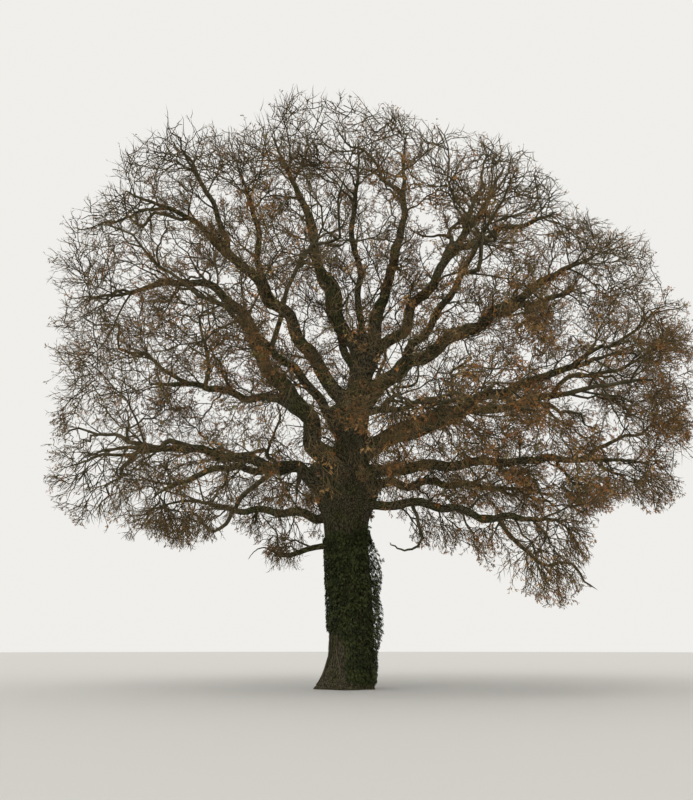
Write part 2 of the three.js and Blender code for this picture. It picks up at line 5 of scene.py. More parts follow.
import json
import math
import bpy
import numpy as np
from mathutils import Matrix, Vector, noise

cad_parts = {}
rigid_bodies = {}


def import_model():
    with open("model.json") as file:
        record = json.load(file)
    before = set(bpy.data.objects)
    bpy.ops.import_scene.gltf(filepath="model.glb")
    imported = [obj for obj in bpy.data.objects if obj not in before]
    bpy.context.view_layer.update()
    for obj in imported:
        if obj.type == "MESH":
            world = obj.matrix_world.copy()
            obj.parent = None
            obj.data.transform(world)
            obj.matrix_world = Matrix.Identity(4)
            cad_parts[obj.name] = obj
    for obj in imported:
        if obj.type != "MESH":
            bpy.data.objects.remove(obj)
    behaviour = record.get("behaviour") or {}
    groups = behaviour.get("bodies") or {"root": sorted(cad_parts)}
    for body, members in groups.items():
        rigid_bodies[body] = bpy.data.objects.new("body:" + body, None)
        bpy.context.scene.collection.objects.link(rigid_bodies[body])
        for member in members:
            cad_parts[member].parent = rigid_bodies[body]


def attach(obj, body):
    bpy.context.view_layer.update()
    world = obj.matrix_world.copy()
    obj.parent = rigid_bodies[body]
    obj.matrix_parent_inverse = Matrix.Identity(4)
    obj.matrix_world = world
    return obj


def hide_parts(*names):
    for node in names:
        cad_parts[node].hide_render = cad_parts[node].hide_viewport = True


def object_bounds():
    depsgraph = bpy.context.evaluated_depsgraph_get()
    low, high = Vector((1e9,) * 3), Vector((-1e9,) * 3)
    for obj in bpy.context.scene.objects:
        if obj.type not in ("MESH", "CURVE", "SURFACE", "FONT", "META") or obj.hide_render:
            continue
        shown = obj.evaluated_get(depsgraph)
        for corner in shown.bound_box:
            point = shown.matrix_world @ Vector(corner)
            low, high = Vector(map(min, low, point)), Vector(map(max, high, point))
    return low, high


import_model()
cad_box = [list(corner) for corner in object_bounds()]

# Trunk
# One stem of old oak wood under thick bark. The bark has split into long plates with furrows
# between them, swells where the boughs leave, and spreads into buttresses at the foot.
TURN = 2 * math.pi
TRUNK_LINE = ((0, 0, 0), (-0.05, 0, 3), (-0.22, 0.05, 6), (0, 0.1, 9.2), (0.55, 0.1, 12.7))
TRUNK_HEIGHT = TRUNK_LINE[-1][2]
CURVE_POINTS = 80  # from one corner of that line to the next
BOLE_RADIUS = 0.78
CROTCH_RADIUS = 1.2  # where the lowest boughs leave
CROTCH_HEIGHT = 7.1
CROTCH_SPAN = 0.8
TRUNK_TIP_RADIUS = 0.36
TAPER_START = 7.0
TRUNK_TAPER = 0.75
FLARE = 0.27
FLARE_LEAN = 0.9  # the foot spreads more to the left by this share
FLARE_HEIGHT = 0.6
BUTTRESSES = 5
BUTTRESS_BEARING = 180
BUTTRESS_DEPTH = 0.12
BUTTRESS_SKEW = 0.8
ROUNDED_TOP = 0.45  # the stump between the leaders is rounded over this height,
ROUNDED_SHARE = 0.999  # nearly to a point,
SMOOTH_TOP = 0.99  # and smooth past this share of it
TRUNK_SIDES = 256
TRUNK_RINGS = 330
PLATE_WIDTH = 0.085
PLATE_LENGTH = 0.36
PLATE_EDGE = 0.4  # how far a plate's edge slopes, as a share of its width
TRUNK_FURROWS = 0.03  # how deep the furrows are
BURRS = 0.03  # how far the bark swells and sinks
BURR_SIZE = 0.7
FILLET = 1.3  # bark swells towards a bough within this share of the bough's radius

BARK_DARK = (0.02, 0.015, 0.008, 1)
BARK_BROWN = (0.085, 0.071, 0.04, 1)
BARK_GREY = (0.142, 0.13, 0.085, 1)
ALGAE = (0.078, 0.085, 0.03, 1)
MOSS = (0.062, 0.075, 0.014, 1)
BARK_CELL = (0.05, 0.05, 0.19)  # the small plates that are drawn on the modelled ones
BARK_GRAIN = 0.03
ALGAE_PATCH = 0.9
MOSS_PATCH = 0.4
BARK_DEPTH = 0.015  # of the small plates


def trunk_curve():
    """Points along the trunk's centreline, a centripetal curve through its corners."""
    corners = np.array(TRUNK_LINE, float)
    before = 2 * corners[0] - corners[1]
    after = 2 * corners[-1] - corners[-2]
    corners = np.vstack([before, corners, after])
    t = np.linspace(0, 1, CURVE_POINTS)[:, None]
    stretches = []
    for p0, p1, p2, p3 in zip(corners, corners[1:], corners[2:], corners[3:]):
        d0, d1, d2 = (np.linalg.norm(b - a) ** 0.5 for a, b in ((p0, p1), (p1, p2), (p2, p3)))
        leave = d1 * ((p1 - p0) / d0 - (p2 - p0) / (d0 + d1) + (p2 - p1) / d1)
        arrive = d1 * ((p2 - p1) / d1 - (p3 - p1) / (d1 + d2) + (p3 - p2) / d2)
        bend = 3 * (p2 - p1) - 2 * leave - arrive
        stretches.append(p1 + t * leave + t**2 * bend + t**3 * (2 * (p1 - p2) + leave + arrive))
    return np.vstack(stretches)


TRUNK_CURVE = trunk_curve()


def trunk_point(height):
    """The centre of the trunk at each height."""
    height = np.asarray(height, float)
    x = np.interp(height, TRUNK_CURVE[:, 2], TRUNK_CURVE[:, 0])
    y = np.interp(height, TRUNK_CURVE[:, 2], TRUNK_CURVE[:, 1])
    return np.stack([x, y, height], -1)


def trunk_radius(height, angle):
    """The trunk's radius at each height and angle from +X, without the bark's relief."""
    taper = np.maximum(0, (height - TAPER_START) / (TRUNK_HEIGHT - TAPER_START)) ** TRUNK_TAPER
    body = BOLE_RADIUS + (TRUNK_TIP_RADIUS - BOLE_RADIUS) * taper
    swell = (CROTCH_RADIUS - BOLE_RADIUS) * np.exp(-(((height - CROTCH_HEIGHT) / CROTCH_SPAN) ** 2))
    around = BUTTRESSES * (angle - math.radians(BUTTRESS_BEARING)) + BUTTRESS_SKEW * np.sin(angle)
    buttress = BUTTRESS_DEPTH * np.cos(around)
    flare = FLARE * (1 - FLARE_LEAN * np.cos(angle))
    return body + swell + np.exp(-height / FLARE_HEIGHT) * (flare + buttress)


def level_way(angle):
    """The level direction at each angle from +X."""
    return np.stack([np.cos(angle), np.sin(angle), 0 * angle], -1)


def unit(vectors):
    """The same directions with a length of one."""
    return vectors / np.maximum(np.linalg.norm(vectors, axis=-1, keepdims=True), 1e-12)


def plates(grain, width, length):
    """Bark relief at points given along the grain: 0 down in a furrow and 1 on a plate."""
    scaled = grain / (width, width, length)
    relief = np.empty(len(scaled))
    for i, place in enumerate(scaled.tolist()):
        near, next_near = noise.voronoi(place)[0][:2]
        relief[i] = min(1.0, (next_near - near) / PLATE_EDGE)
    return relief


def slow_noise(points, size):
    """Slow swings from -1 to 1, each over a distance of about this size."""
    return np.array([noise.noise(place) for place in (points / size).tolist()])


def fillet(gap, reach):
    """How far bark bulges out across the gap to a limb that stands within this reach."""
    return reach / 4 * np.clip(1 - gap / reach, 0, 1) ** 2


def swelling(points, centres, radii, reach):
    """How far bark bulges out where a limb stands near it, given as balls along that limb."""
    gap = np.full(len(points), reach)
    for centre, radius in zip(centres, radii):
        gap = np.minimum(gap, np.linalg.norm(points - centre, axis=-1) - radius)
    return fillet(gap, reach)


def rolled_bark(name, sides, rings, place):
    """A grid rolled into a closed log. place gives points and grain for each share and angle."""
    bpy.ops.object.select_all(action="DESELECT")
    bpy.ops.mesh.primitive_grid_add(x_subdivisions=sides, y_subdivisions=rings, size=1)
    log = bpy.context.object
    log.name = log.data.name = name
    flat = np.empty(3 * len(log.data.vertices))
    log.data.vertices.foreach_get("co", flat)
    flat = flat.reshape(-1, 3)
    points, grain = place(flat[:, 1] + 0.5, TURN * (flat[:, 0] + 0.5))
    log.data.vertices.foreach_set("co", points.ravel())
    kept = log.data.attributes.new("grain", "FLOAT_VECTOR", "POINT")
    kept.data.foreach_set("vector", grain.astype(np.float32).ravel())
    bpy.ops.object.mode_set(mode="EDIT")
    bpy.ops.mesh.select_all(action="SELECT")
    bpy.ops.mesh.remove_doubles(threshold=1e-5)
    bpy.ops.mesh.select_all(action="DESELECT")
    bpy.ops.mesh.select_mode(type="EDGE")
    bpy.ops.mesh.select_non_manifold()
    bpy.ops.mesh.fill_holes(sides=0)
    bpy.ops.mesh.select_all(action="SELECT")
    bpy.ops.mesh.normals_make_consistent(inside=False)
    bpy.ops.object.mode_set(mode="OBJECT")
    bpy.ops.object.shade_smooth()
    return log


class Wire:
    """A socket in a material's node tree, so that its maths is written as plain expressions."""

    def __init__(self, tree, socket=None):
        self.tree = tree
        self.socket = socket

    def node(self, kind, settings, sockets, output=0):
        """A wire from one output of a new node, with its settings and its sockets filled in."""
        made = self.tree.nodes.new(kind)
        for name, value in settings.items():
            setattr(made, name, value)
        for name, value in sockets.items():
            if isinstance(value, Wire):
                self.tree.links.new(value.socket, made.inputs[name])
            else:
                made.inputs[name].default_value = value
        return Wire(self.tree, made.outputs[output])

    def maths(self, operation, first, second=0.0):
        """A wire from a new Math node."""
        return self.node("ShaderNodeMath", {"operation": operation}, {0: first, 1: second})

    def __add__(self, other):
        return self.maths("ADD", self, other)

    __radd__ = __add__

    def __sub__(self, other):
        return self.maths("SUBTRACT", self, other)

    def __rsub__(self, other):
        return self.maths("SUBTRACT", other, self)

    def __mul__(self, other):
        return self.maths("MULTIPLY", self, other)

    __rmul__ = __mul__

    def to(self, socket):
        """Leads this wire to a socket of the shader."""
        self.tree.links.new(self.socket, socket)

    def place(self):
        """Where a point of the piece is, in metres."""
        return self.node("ShaderNodeTexCoord", {}, {}, 3)

    def stretched(self, scale):
        """Places multiplied by a scale for each axis."""
        return self.node("ShaderNodeVectorMath", {"operation": "MULTIPLY"}, {0: self, 1: scale})

    def noise(self, size, detail=3.0):
        """A cloudy pattern of about this size at these places."""
        sockets = {"Vector": self, "Scale": 1 / size, "Detail": detail}
        return self.node("ShaderNodeTexNoise", {}, sockets)

    def step(self, low, high):
        """Rises smoothly from 0 at low to 1 at high."""
        sockets = {"Value": self, "From Min": low, "From Max": high}
        return self.node("ShaderNodeMapRange", {"interpolation_type": "SMOOTHSTEP"}, sockets)

    def between(self, first, second):
        """A colour that goes from the first to the second as this wire goes from 0 to 1."""
        sockets = {0: self, 6: first, 7: second}
        return self.node("ShaderNodeMix", {"data_type": "RGBA"}, sockets, 2)


def finish_material(name, shader):
    """A material with these plain values, a wire to start others from, and its shader's sockets."""
    material = bpy.data.materials.new(name)
    material.use_nodes = True
    surface = material.node_tree.nodes["Principled BSDF"]
    for socket, value in shader.items():
        surface.inputs[socket].default_value = value
    return material, Wire(material.node_tree), surface.inputs


def oak_bark():
    """Grey-brown plates and dark furrows, green with algae, with moss on what faces up."""
    material, start, surface = finish_material("oak_bark", {"Specular IOR Level": 0.15})
    grain = start.node("ShaderNodeAttribute", {"attribute_name": "grain"}, {}, 1)
    place = start.place()
    normal = start.node("ShaderNodeNewGeometry", {}, {}, 1)
    upward = start.node("ShaderNodeSeparateXYZ", {}, {0: normal}, 2)
    cells = grain.stretched(tuple(1 / size for size in BARK_CELL))
    to_edge = {"feature": "DISTANCE_TO_EDGE"}
    edges = start.node("ShaderNodeTexVoronoi", to_edge, {"Vector": cells, "Scale": 1.0})
    plate = edges.step(0.02, 0.22)
    fine = grain.noise(BARK_GRAIN, 4.0)
    weathered = fine.step(0.35, 0.7).between(BARK_BROWN, BARK_GREY)
    green = place.noise(ALGAE_PATCH, 4.0).step(0.42, 0.66).between(weathered, ALGAE)
    moss = upward.step(0.1, 0.85) * place.noise(MOSS_PATCH).step(0.38, 0.6)
    plate.between(BARK_DARK, moss.between(green, MOSS)).to(surface["Base Color"])
    (0.98 - 0.12 * plate).to(surface["Roughness"])
    relief = {"Strength": 0.8, "Distance": BARK_DEPTH, "Height": plate * 0.7 + fine * 0.3}
    start.node("ShaderNodeBump", {}, relief).to(surface["Normal"])
    return material


BARK = oak_bark()

# Boughs
# Thirty crooked limbs of the same wood and bark. Each grows out of the trunk or of another bough
# with a swollen collar, and thins to its tip, where its mass of twigs carries on from it.
# Each row has these parts: at is the height on the trunk, or the share of the length on a bough. The
# tip is a bearing, a reach and a height, bow is how far the middle stands up and to the left of a
# straight line, radius is that at base and tip, and spread is the reach of the mass of twigs.
BOUGH_PARTS = ("at", "tip", "bow", "radius", "spread")
BOUGHS = {
    "trunk": {
        "left_limb": (7.0, (188, 3.7, 12.8), (0.1, 0), (0.42, 0.23)),
        "left_stem": (10.0, (172, 5.6, 17.5), (0.3, 0), (0.3, 0.17)),
        "leader_left": (12.3, (204, 2.4, 19.0), (-0.3, 0), (0.28, 0.11), 3.2),
        "leader_right": (12.1, (12, 2.2, 19.8), (-0.3, -0.2), (0.26, 0.1), 3.1),
        "leader_middle": (12.0, (272, 3.2, 17.4), (0.3, 0), (0.15, 0.09), 3.0),
        "right_high": (11.9, (8, 4.7, 17.8), (-0.2, 0), (0.25, 0.14), 3.3),
        "right_upper": (10.5, (342, 7.9, 14.8), (0.2, -0.1), (0.32, 0.12), 3.2),
        "right_limb": (8.5, (11, 9.3, 12.5), (0.3, 0.2), (0.3, 0.12), 3.5),
        "right_mid": (8.3, (334, 8.0, 10.0), (0.4, 0.1), (0.25, 0.11), 3.3),
        "right_level": (7.6, (2, 8.9, 8.4), (0.2, 0), (0.24, 0.11), 3.5),
        "right_low": (6.7, (324, 7.0, 5.6), (0.1, 0.2), (0.19, 0.1), 3.0),
        "right_low_back": (7.2, (38, 8.2, 8.0), (0.2, 0.2), (0.2, 0.1), 3.2),
        "left_level": (7.0, (200, 7.3, 8.3), (0.5, 0), (0.27, 0.11), 3.2),
        "left_low": (6.2, (147, 6.8, 7.1), (-0.2, -0.1), (0.2, 0.1), 2.9),
        "left_stub": (5.5, (195, 2.9, 4.7), (-0.1, 0.1), (0.13, 0.08), 1.5),
        "front_left": (8.0, (243, 7.3, 11.4), (0.5, 0.3), (0.22, 0.1), 3.3),
        "front": (7.4, (278, 7.4, 8.8), (0.5, -0.2), (0.21, 0.1), 3.3),
        "front_right": (9.4, (306, 6.5, 14.0), (0.3, 0.3), (0.21, 0.1), 3.5),
        "back_left": (7.8, (108, 7.6, 8.6), (0.5, 0.3), (0.23, 0.11), 3.4),
        "back_right": (8.2, (60, 8.0, 11.4), (0.5, -0.3), (0.22, 0.11), 3.5),
        "back_upper": (9.8, (88, 7.0, 15.2), (0.4, -0.3), (0.22, 0.11), 3.4),
        "back_top": (11.0, (112, 4.0, 18.4), (0.2, 0.3), (0.18, 0.1), 3.2),
    },
    "left_limb": {
        "left_arch": (0.96, (191, 8.0, 14.6), (1.3, 0), (0.2, 0.1), 3.1),
        "left_back": (0.56, (154, 8.4, 12.2), (0.1, -0.2), (0.19, 0.1), 3.4),
    },
    "left_stem": {
        "left_upright": (0.62, (216, 4.6, 17.4), (-0.1, -0.1), (0.15, 0.09), 3.1),
        "left_high": (0.97, (180, 7.5, 18.6), (0.2, 0), (0.13, 0.09), 3.0),
        "left_crook": (0.93, (170, 6.4, 20.3), (0.3, -0.2), (0.13, 0.09), 2.9),
    },
    "left_level": {
        "left_front": (0.36, (226, 7.4, 6.8), (0.1, 0.1), (0.15, 0.09), 3.1),
    },
    "right_upper": {
        "right_outer": (0.5, (16, 9.2, 15.8), (0.2, 0), (0.16, 0.1), 3.0),
    },
    "right_high": {
        "right_high_out": (0.88, (354, 7.2, 17.7), (0.1, 0), (0.14, 0.09), 2.8),
    },
}
TREE_SEED = 7
THICK_BOUGH = 0.2
THICK_RINGS = 6  # a stem's heading is that of the last of so many stretches of a thick bough,
THIN_RINGS = 5  # or of a thin one
BOUGH_TAPER = 0.85
COLLAR = 0.4  # how much thicker a bough is where it leaves its parent
COLLAR_SUNK = 0.8
COLLAR_LENGTH = 0.9
CROOK = 0.08
CROOK_LENGTH = 5  # a bough shorter than this is less crooked
CROOK_WAVES = 0.5
CROOK_SIDEWAYS = 0.8
KINK = 0.2  # how far a limb strays from its line between one sharp bend and the next
KINK_STEP = 1.15
KINK_LOOSE = 0.35
KINK_ENDS = 6  # the kinks fade out over the last one part in so many at each of its ends
BOUGH_RING_STEP = 0.085
BOUGH_SIDES = ((0.24, 40), (0.18, 32), (0, 24))  # by the radius at the base
BOUGH_PLATE_WIDTH = 0.13
BOUGH_PLATE_LENGTH = 0.42
BOUGH_FURROWS = 0.07  # depth as a share of the radius
BOUGH_BURRS = 0.9  # as a share of that depth
BOUGH_BURR_SIZE = 0.35
GRAIN_SHIFT = 40  # how far along the grain one bough's plates may be from another's
HIDDEN_BASE = 0.5  # a bough starts this share of its parent's radius from its centreline
FILLET_LENGTH = 2.2
FILLET_STEP = 0.06
FULL_HASH = 0xFFFFFFFF
HASH_SPAN = 4294967296.0
# The stump of a limb that was sawn off above the fork, on the side towards the viewer.
STUMP = (9.3, (229, 1.0, 10.2), (0, 0), (0.27, 0.22))


def draw(seed, channel):
    """A number from 0 to 1. The channel tells apart the draws that are made with one seed."""
    seed = np.asarray(seed, np.uint64)
    h = seed ^ np.uint64(((channel + 1) * 0x9E3779B1) & FULL_HASH)
    h = (h * np.uint64(0x85EBCA6B)) & np.uint64(FULL_HASH)
    h = ((h ^ (h >> np.uint64(13))) * np.uint64(0xC2B2AE35)) & np.uint64(FULL_HASH)
    h = ((h ^ (h >> np.uint64(16))) * np.uint64(0x27D4EB2F)) & np.uint64(FULL_HASH)
    return (h ^ (h >> np.uint64(15))) / HASH_SPAN


def sway(seed, channel):
    """A number from -1 to 1, drawn the same way."""
    return 2 * draw(seed, channel) - 1


def child_seed(seed, index):
    """The seed of one of the things that grow on what has this seed."""
    return np.floor(draw(seed, 100 + index) * HASH_SPAN).astype(np.uint64)


def square_to(heading):
    """Two directions square to each heading: a level one to its left, and one above it."""
    left = np.stack([-heading[..., 1], heading[..., 0], 0 * heading[..., 2]], -1)
    left[np.sum(left**2, -1) < 1e-8] = (0, 1, 0)
    left = unit(left)
    return left, np.cross(heading, left)


def turned(angle, left, up):
    """Directions turned by each angle from left towards up."""
    return np.cos(angle)[..., None] * left + np.sin(angle)[..., None] * up


def kinks(bough, share, channel):
    """How far a limb is off its line, one way: straight runs between sharp bends."""
    count = math.ceil(bough["length"] / KINK_STEP) + 1
    knots = [k + KINK_LOOSE * sway(bough["seed"], channel + 2 * k) for k in range(count)]
    offsets = [sway(bough["seed"], channel + 2 * k + 1) for k in range(count)]
    ends = np.clip(KINK_ENDS * np.minimum(share, 1 - share), 0, 1)
    size = KINK * min(1, bough["length"] / CROOK_LENGTH)
    return size * ends * np.interp(share * bough["length"] / KINK_STEP, knots, offsets)


def bough_point(bough, share):
    """A bough's centre at each share of its length."""
    share = np.asarray(share, float)
    bent = 4 * share * (1 - share)
    crook = CROOK * min(1, bough["length"] / CROOK_LENGTH) * np.sin(math.pi * share)
    waves = TURN * CROOK_WAVES * bough["length"] * share
    rise = bent * bough["bow"][0] + crook * np.sin(waves + TURN * draw(bough["seed"], 1))
    rise = rise + kinks(bough, share, 700)
    sideways = np.sin(CROOK_SIDEWAYS * waves + TURN * draw(bough["seed"], 2))
    drift = bent * bough["bow"][1] + crook * sideways + kinks(bough, share, 800)
    straight = bough["start"] + share[..., None] * (bough["tip"] - bough["start"])
    return straight + rise[..., None] * bough["up"] + drift[..., None] * bough["left"]


def bough_radius(bough, share):
    """A bough's radius at each share of its length, with the collar at its foot."""
    base, end = bough["radius"]
    past = np.maximum(0, share * bough["length"] - COLLAR_SUNK * bough["parent_radius"])
    collar = 1 + COLLAR * np.exp(-past / (COLLAR_LENGTH * base))
    return collar * (end + (base - end) * np.maximum(1 - share, 0) ** BOUGH_TAPER)


def planned_bough(name, parent_name, number, plan):
    """A bough with its start, tip and length worked out from its row of the plans."""
    bough = dict(zip(BOUGH_PARTS, plan), name=name, on=parent_name, seed=child_seed(TREE_SEED, number))
    if parent_name == "trunk":
        bough["start"] = trunk_point(bough["at"])
        bough["parent_radius"] = float(trunk_radius(bough["at"], 0))
    else:
        bough["start"] = bough_point(boughs[parent_name], bough["at"])
        bough["parent_radius"] = float(bough_radius(boughs[parent_name], bough["at"]))
    bearing, reach, height = bough["tip"]
    east = reach * math.cos(math.radians(bearing))
    north = reach * math.sin(math.radians(bearing))
    bough["tip"] = np.array((east, north, height))
    bough["length"] = float(np.linalg.norm(bough["tip"] - bough["start"]))
    bough["left"], bough["up"] = square_to(unit(bough["tip"] - bough["start"]))
    bough["rings"] = THICK_RINGS if bough["radius"][0] >= THICK_BOUGH else THIN_RINGS
    return bough


boughs = {}
for parent_name, plans in BOUGHS.items():
    for name, plan in plans.items():
        boughs[name] = planned_bough(name, parent_name, len(boughs), plan)
stump = planned_bough("left_stump", "trunk", len(boughs), STUMP)


def bough_balls(bough, step, length):
    """Balls that stand for the first stretch of a bough, as centres and radii."""
    count = math.ceil(min(length, bough["length"]) / step)
    share = np.arange(count + 1) * step / bough["length"]
    share = share[share <= 1]
    return bough_point(bough, share), bough_radius(bough, share)


def swellings_for_boughs(points, parent_name):
    """How far a limb's bark bulges out at these points, towards the boughs that grow on it."""
    total = np.zeros(len(points))
    for bough in boughs.values():
        if bough["on"] == parent_name:
            centres, radii = bough_balls(bough, FILLET_STEP, FILLET_LENGTH)
            near = np.linalg.norm(points - centres[len(centres) // 2], axis=-1) < FILLET_LENGTH
            reach = FILLET * bough["radius"][0]
            total[near] = np.maximum(total[near], swelling(points[near], centres, radii, reach))
    return total


def swelling_to_parent(bough, points):
    """How far a bough's own bark bulges out close to the limb that carries it."""
    reach = FILLET * bough["radius"][0]
    if bough["on"] == "trunk":
        away = points - trunk_point(points[:, 2])
        angle = np.arctan2(away[:, 1], away[:, 0])
        return fillet(np.hypot(away[:, 0], away[:, 1]) - trunk_radius(points[:, 2], angle), reach)
    parent = boughs[bough["on"]]
    centres, radii = bough_balls(parent, FILLET_STEP, parent["length"])
    return swelling(points, centres, radii, reach)


def place_on_trunk(share, angle):
    """Points of the trunk's bark, and where each one is along the grain."""
    height = TRUNK_HEIGHT * np.clip(share, 0, 1)
    outward = level_way(angle)
    over = np.clip((height - TRUNK_HEIGHT + ROUNDED_TOP) / ROUNDED_TOP, 0, ROUNDED_SHARE)
    radius = trunk_radius(height, angle) * np.sqrt(1 - over**2)
    centre = trunk_point(height)
    grain = radius[:, None] * outward
    grain[:, 2] = height
    lumps = BURRS * slow_noise(grain, BURR_SIZE)
    relief = TRUNK_FURROWS * (plates(grain, PLATE_WIDTH, PLATE_LENGTH) - 1)
    bare = centre + radius[:, None] * outward
    radius = radius + swellings_for_boughs(bare, "trunk") + (lumps + relief) * (over < SMOOTH_TOP)
    return centre + radius[:, None] * outward, grain


def frames_along(lines):
    """Two directions square to each line at each of its points, turned as little as may be."""
    ahead = np.concatenate([lines[:, 1:], lines[:, -1:]], axis=1)
    behind = np.concatenate([lines[:, :1], lines[:, :-1]], axis=1)
    along = unit(ahead - behind)
    left = square_to(along[:, 0])[0]
    lefts = []
    for i in range(lines.shape[1]):
        heading = along[:, i]
        left = unit(left - heading * np.sum(left * heading, -1, keepdims=True))
        lefts.append(left)
    lefts = np.stack(lefts, axis=1)
    return lefts, np.cross(along, lefts)


def bough_bark(bough):
    """One bough's log, with its relief and its swollen foot."""
    hidden = HIDDEN_BASE * bough["parent_radius"] / bough["length"]
    rings = math.ceil((1 - hidden) * bough["length"] / BOUGH_RING_STEP)
    sides = next(count for least, count in BOUGH_SIDES if bough["radius"][0] >= least)
    shares = hidden + (1 - hidden) * np.arange(rings + 1) / rings
    line = bough_point(bough, shares)
    lefts, ups = (ways[0] for ways in frames_along(line[None]))

    def place(share, angle):
        """Points of this bough's bark, and where each one is along the grain."""
        ring = np.rint(share * rings).astype(int)
        outward = turned(angle, lefts[ring], ups[ring])
        radius = bough_radius(bough, shares[ring])
        grain = radius[:, None] * level_way(angle)
        grain[:, 2] = shares[ring] * bough["length"] + GRAIN_SHIFT * draw(bough["seed"], 3)
        bare = line[ring] + radius[:, None] * outward
        relief = plates(grain, BOUGH_PLATE_WIDTH, BOUGH_PLATE_LENGTH) - 1
        relief = relief + BOUGH_BURRS * slow_noise(grain, BOUGH_BURR_SIZE)
        grown = radius * (1 + BOUGH_FURROWS * relief)
        grown = grown + swelling_to_parent(bough, bare) + swellings_for_boughs(bare, bough["name"])
        return line[ring] + grown[:, None] * outward, grain

    return rolled_bark("bough_bark_" + bough["name"], sides, rings, place)


def side_of(name):
    """The part of the crown that a bough belongs to, which is the first word of its name."""
    return name.split("_")[0]


trunk = rolled_bark("trunk_bark", TRUNK_SIDES, TRUNK_RINGS, place_on_trunk)
trunk.data.materials.append(BARK)
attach(trunk, "root")
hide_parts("trunk")

CROWN_SIDES = ("left", "right", "leader", "front", "back")
for side in CROWN_SIDES:
    names = [name for name in boughs if side_of(name) == side]
    logs = [bough_bark(boughs[name]) for name in names]
    if side == side_of(stump["name"]):
        logs.append(bough_bark(stump))
    bpy.ops.object.select_all(action="DESELECT")
    for log in logs:
        log.select_set(True)
    bpy.context.view_layer.objects.active = logs[0]
    bpy.ops.object.join()
    logs[0].name = logs[0].data.name = "bough_bark_" + side
    logs[0].data.materials.append(BARK)
    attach(logs[0], "root")
    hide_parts(*["bough_" + name for name in names])

# Twigs
# Each bough's tip carries on as a stem that branches by a seeded rule into branches and finer and
# finer twigs of brown young wood. Side shoots and short sprigs grow on the boughs too, and longer
# branches reach from them for the room between the masses, out to the crown's skin.
HEART = np.array((0.3, 0, 10.0))  # the middle of the crown
BALL_STEP = 0.12
GAP = 0.0003  # between a bough's tip and its stem
# Each level of twigs grows in so many steps, wanders, and turns outwards. It bears children by the
# source's rule, between its first and last share, and more twigs beside them, up to its tip. Both
# lean away from it by so many degrees, and have its length times the ratio.
TWIG_LEVELS = (
    dict(steps=3, wander=0.3, out=0.12, children=5, more=3, first=0.04, last=0.8, lean=62, ratio=0.95),
    dict(steps=2, wander=0.3, out=0.06, children=2, more=5, first=0.3, last=0.9, lean=50, ratio=0.6),
    dict(steps=1, wander=0.3, out=0.1, children=0, more=7, first=0.1, last=1.0, lean=45, ratio=0.5),
    dict(steps=2, wander=0.4, out=0.2, children=0, more=5, first=0.15, last=1.0, lean=42, ratio=0.5),
    dict(steps=1, wander=0.4, out=0.3, children=0, more=0),
)
SOURCE_LEVELS = 3  # the children of these levels keep to their mass's room and clear of the limbs
BRANCH_LEVELS = (0, 1, 2)
FINE_LEVELS = (3, 4)
CROOKED_PARTS = (4, 4, 4)  # each step of these levels is bent into so many parts
CROOKEDNESS = (0.13, 0.18, 0.22)  # how far each part's end is off the line, as a share of its length
TWIG_SIDES = (7, 5, 3, 3, 3)
LEAST_RADIUS = (0.022, 0.022, 0.022, 0.0155, 0.0112)
SPIRAL = 137.5  # the turn in degrees from one twig to the next round what bears them
SPIRAL_LOOSE = 40
LEAN_LOOSE = 14
PLACE_LOOSE = 0.6
EXTRA_LATE = 0.2  # how much further out the twigs beside the children stand, as a share of their step
LENGTH_LOW = 1.15  # a twig's length is multiplied by this at the foot of what bears it,
LENGTH_HIGH = 0.7  # and by this at its tip
LENGTH_LOOSE = 0.15
# Each mass has a room of its own: a flattened ball, set ahead of its bough's tip.
SPACE_LEAD = 0.28
SPACE_FLAT = 0.92
SPACE_EDGE = 0.97
SPACE_MARGIN = 0.05
DROOP_HEIGHT = 9  # twigs droop below this height
DROOP = 0.2
LIMB_CLEARANCE = 0.06
NEARBY = 1.3
TWIG_THICKNESS = 0.55
TWIG_TAPER = 0.75
STEM_THICKNESS = 0.9
STEM_GUARD = 0.25  # other branches keep clear of this share of a stem
STEM_BALLS = 5
SHORT_STEP = 0.5  # a step that doesn't fit is tried again at this share of its length
HEADING_SHARE = 0.02  # a bough's heading is taken over this share of its length
TWIG_ROOM = (0.9, 0.4, 0, 0, 0)  # room that each level leaves between its tips and the crown's skin
BOX_MARGIN = 0.13
SHOOT_STEP = 0.95  # between one side branch and the next on a bough
SHOOT_FROM = 0.2
SHOOT_LENGTH = (1.2, 2.8)
SHOOT_RADIUS = 0.045
SHOOT_LEAN = 55
SHOOT_LEAN_LOOSE = 18
REACHERS = 320  # branches that reach for places all over the crown
REACH_SEED = 23
REACH_LOWEST = -0.42  # the sine of how far below level they reach
REACH_FEET = (0.3, 0.97)  # they leave a bough between these shares of its length,
REACH_FOOT_STEP = 0.2  # at places so far apart
REACH_LEAST = 1.1  # their least length, and what a shorter one costs
REACH_TOO_SHORT = 100
SKIN_SEARCH = (2, 15, 0.1)  # the crown's skin is looked for from here to there in such steps
REACH_LOOSE = 0.07
REACH_INNER = 0.3  # this share of them ends inside the crown, at these shares of the way to its skin
REACH_DEPTHS = (0.55, 0.85)
REACH_TURNING = 1.2  # what turning aside costs when a branch's foot is chosen, as a share of its length
REACH_APART = 0.7  # no two leave within this distance of each other, unless nothing else is near
REACH_CROWDING = 2.5
REACH_STEPS = 7
REACH_LEAVE = 0.5  # how closely one leaves along the limb that carries it
REACH_ARRIVE = 0.7  # how closely its tip points out of the crown
REACH_DROOP = 0.5  # how far its tip then bends down, less towards the crown's top
REACH_FULLNESS = 0.35  # how far along each end keeps to that, as a share of its length
REACH_CROOK = 0.42
REACH_PARTS = 2
REACH_CARRYING = (2, 6)  # others may leave one of them at these steps
REACH_SLIMMEST = 0.014
REACH_STOUTNESS = 0.019
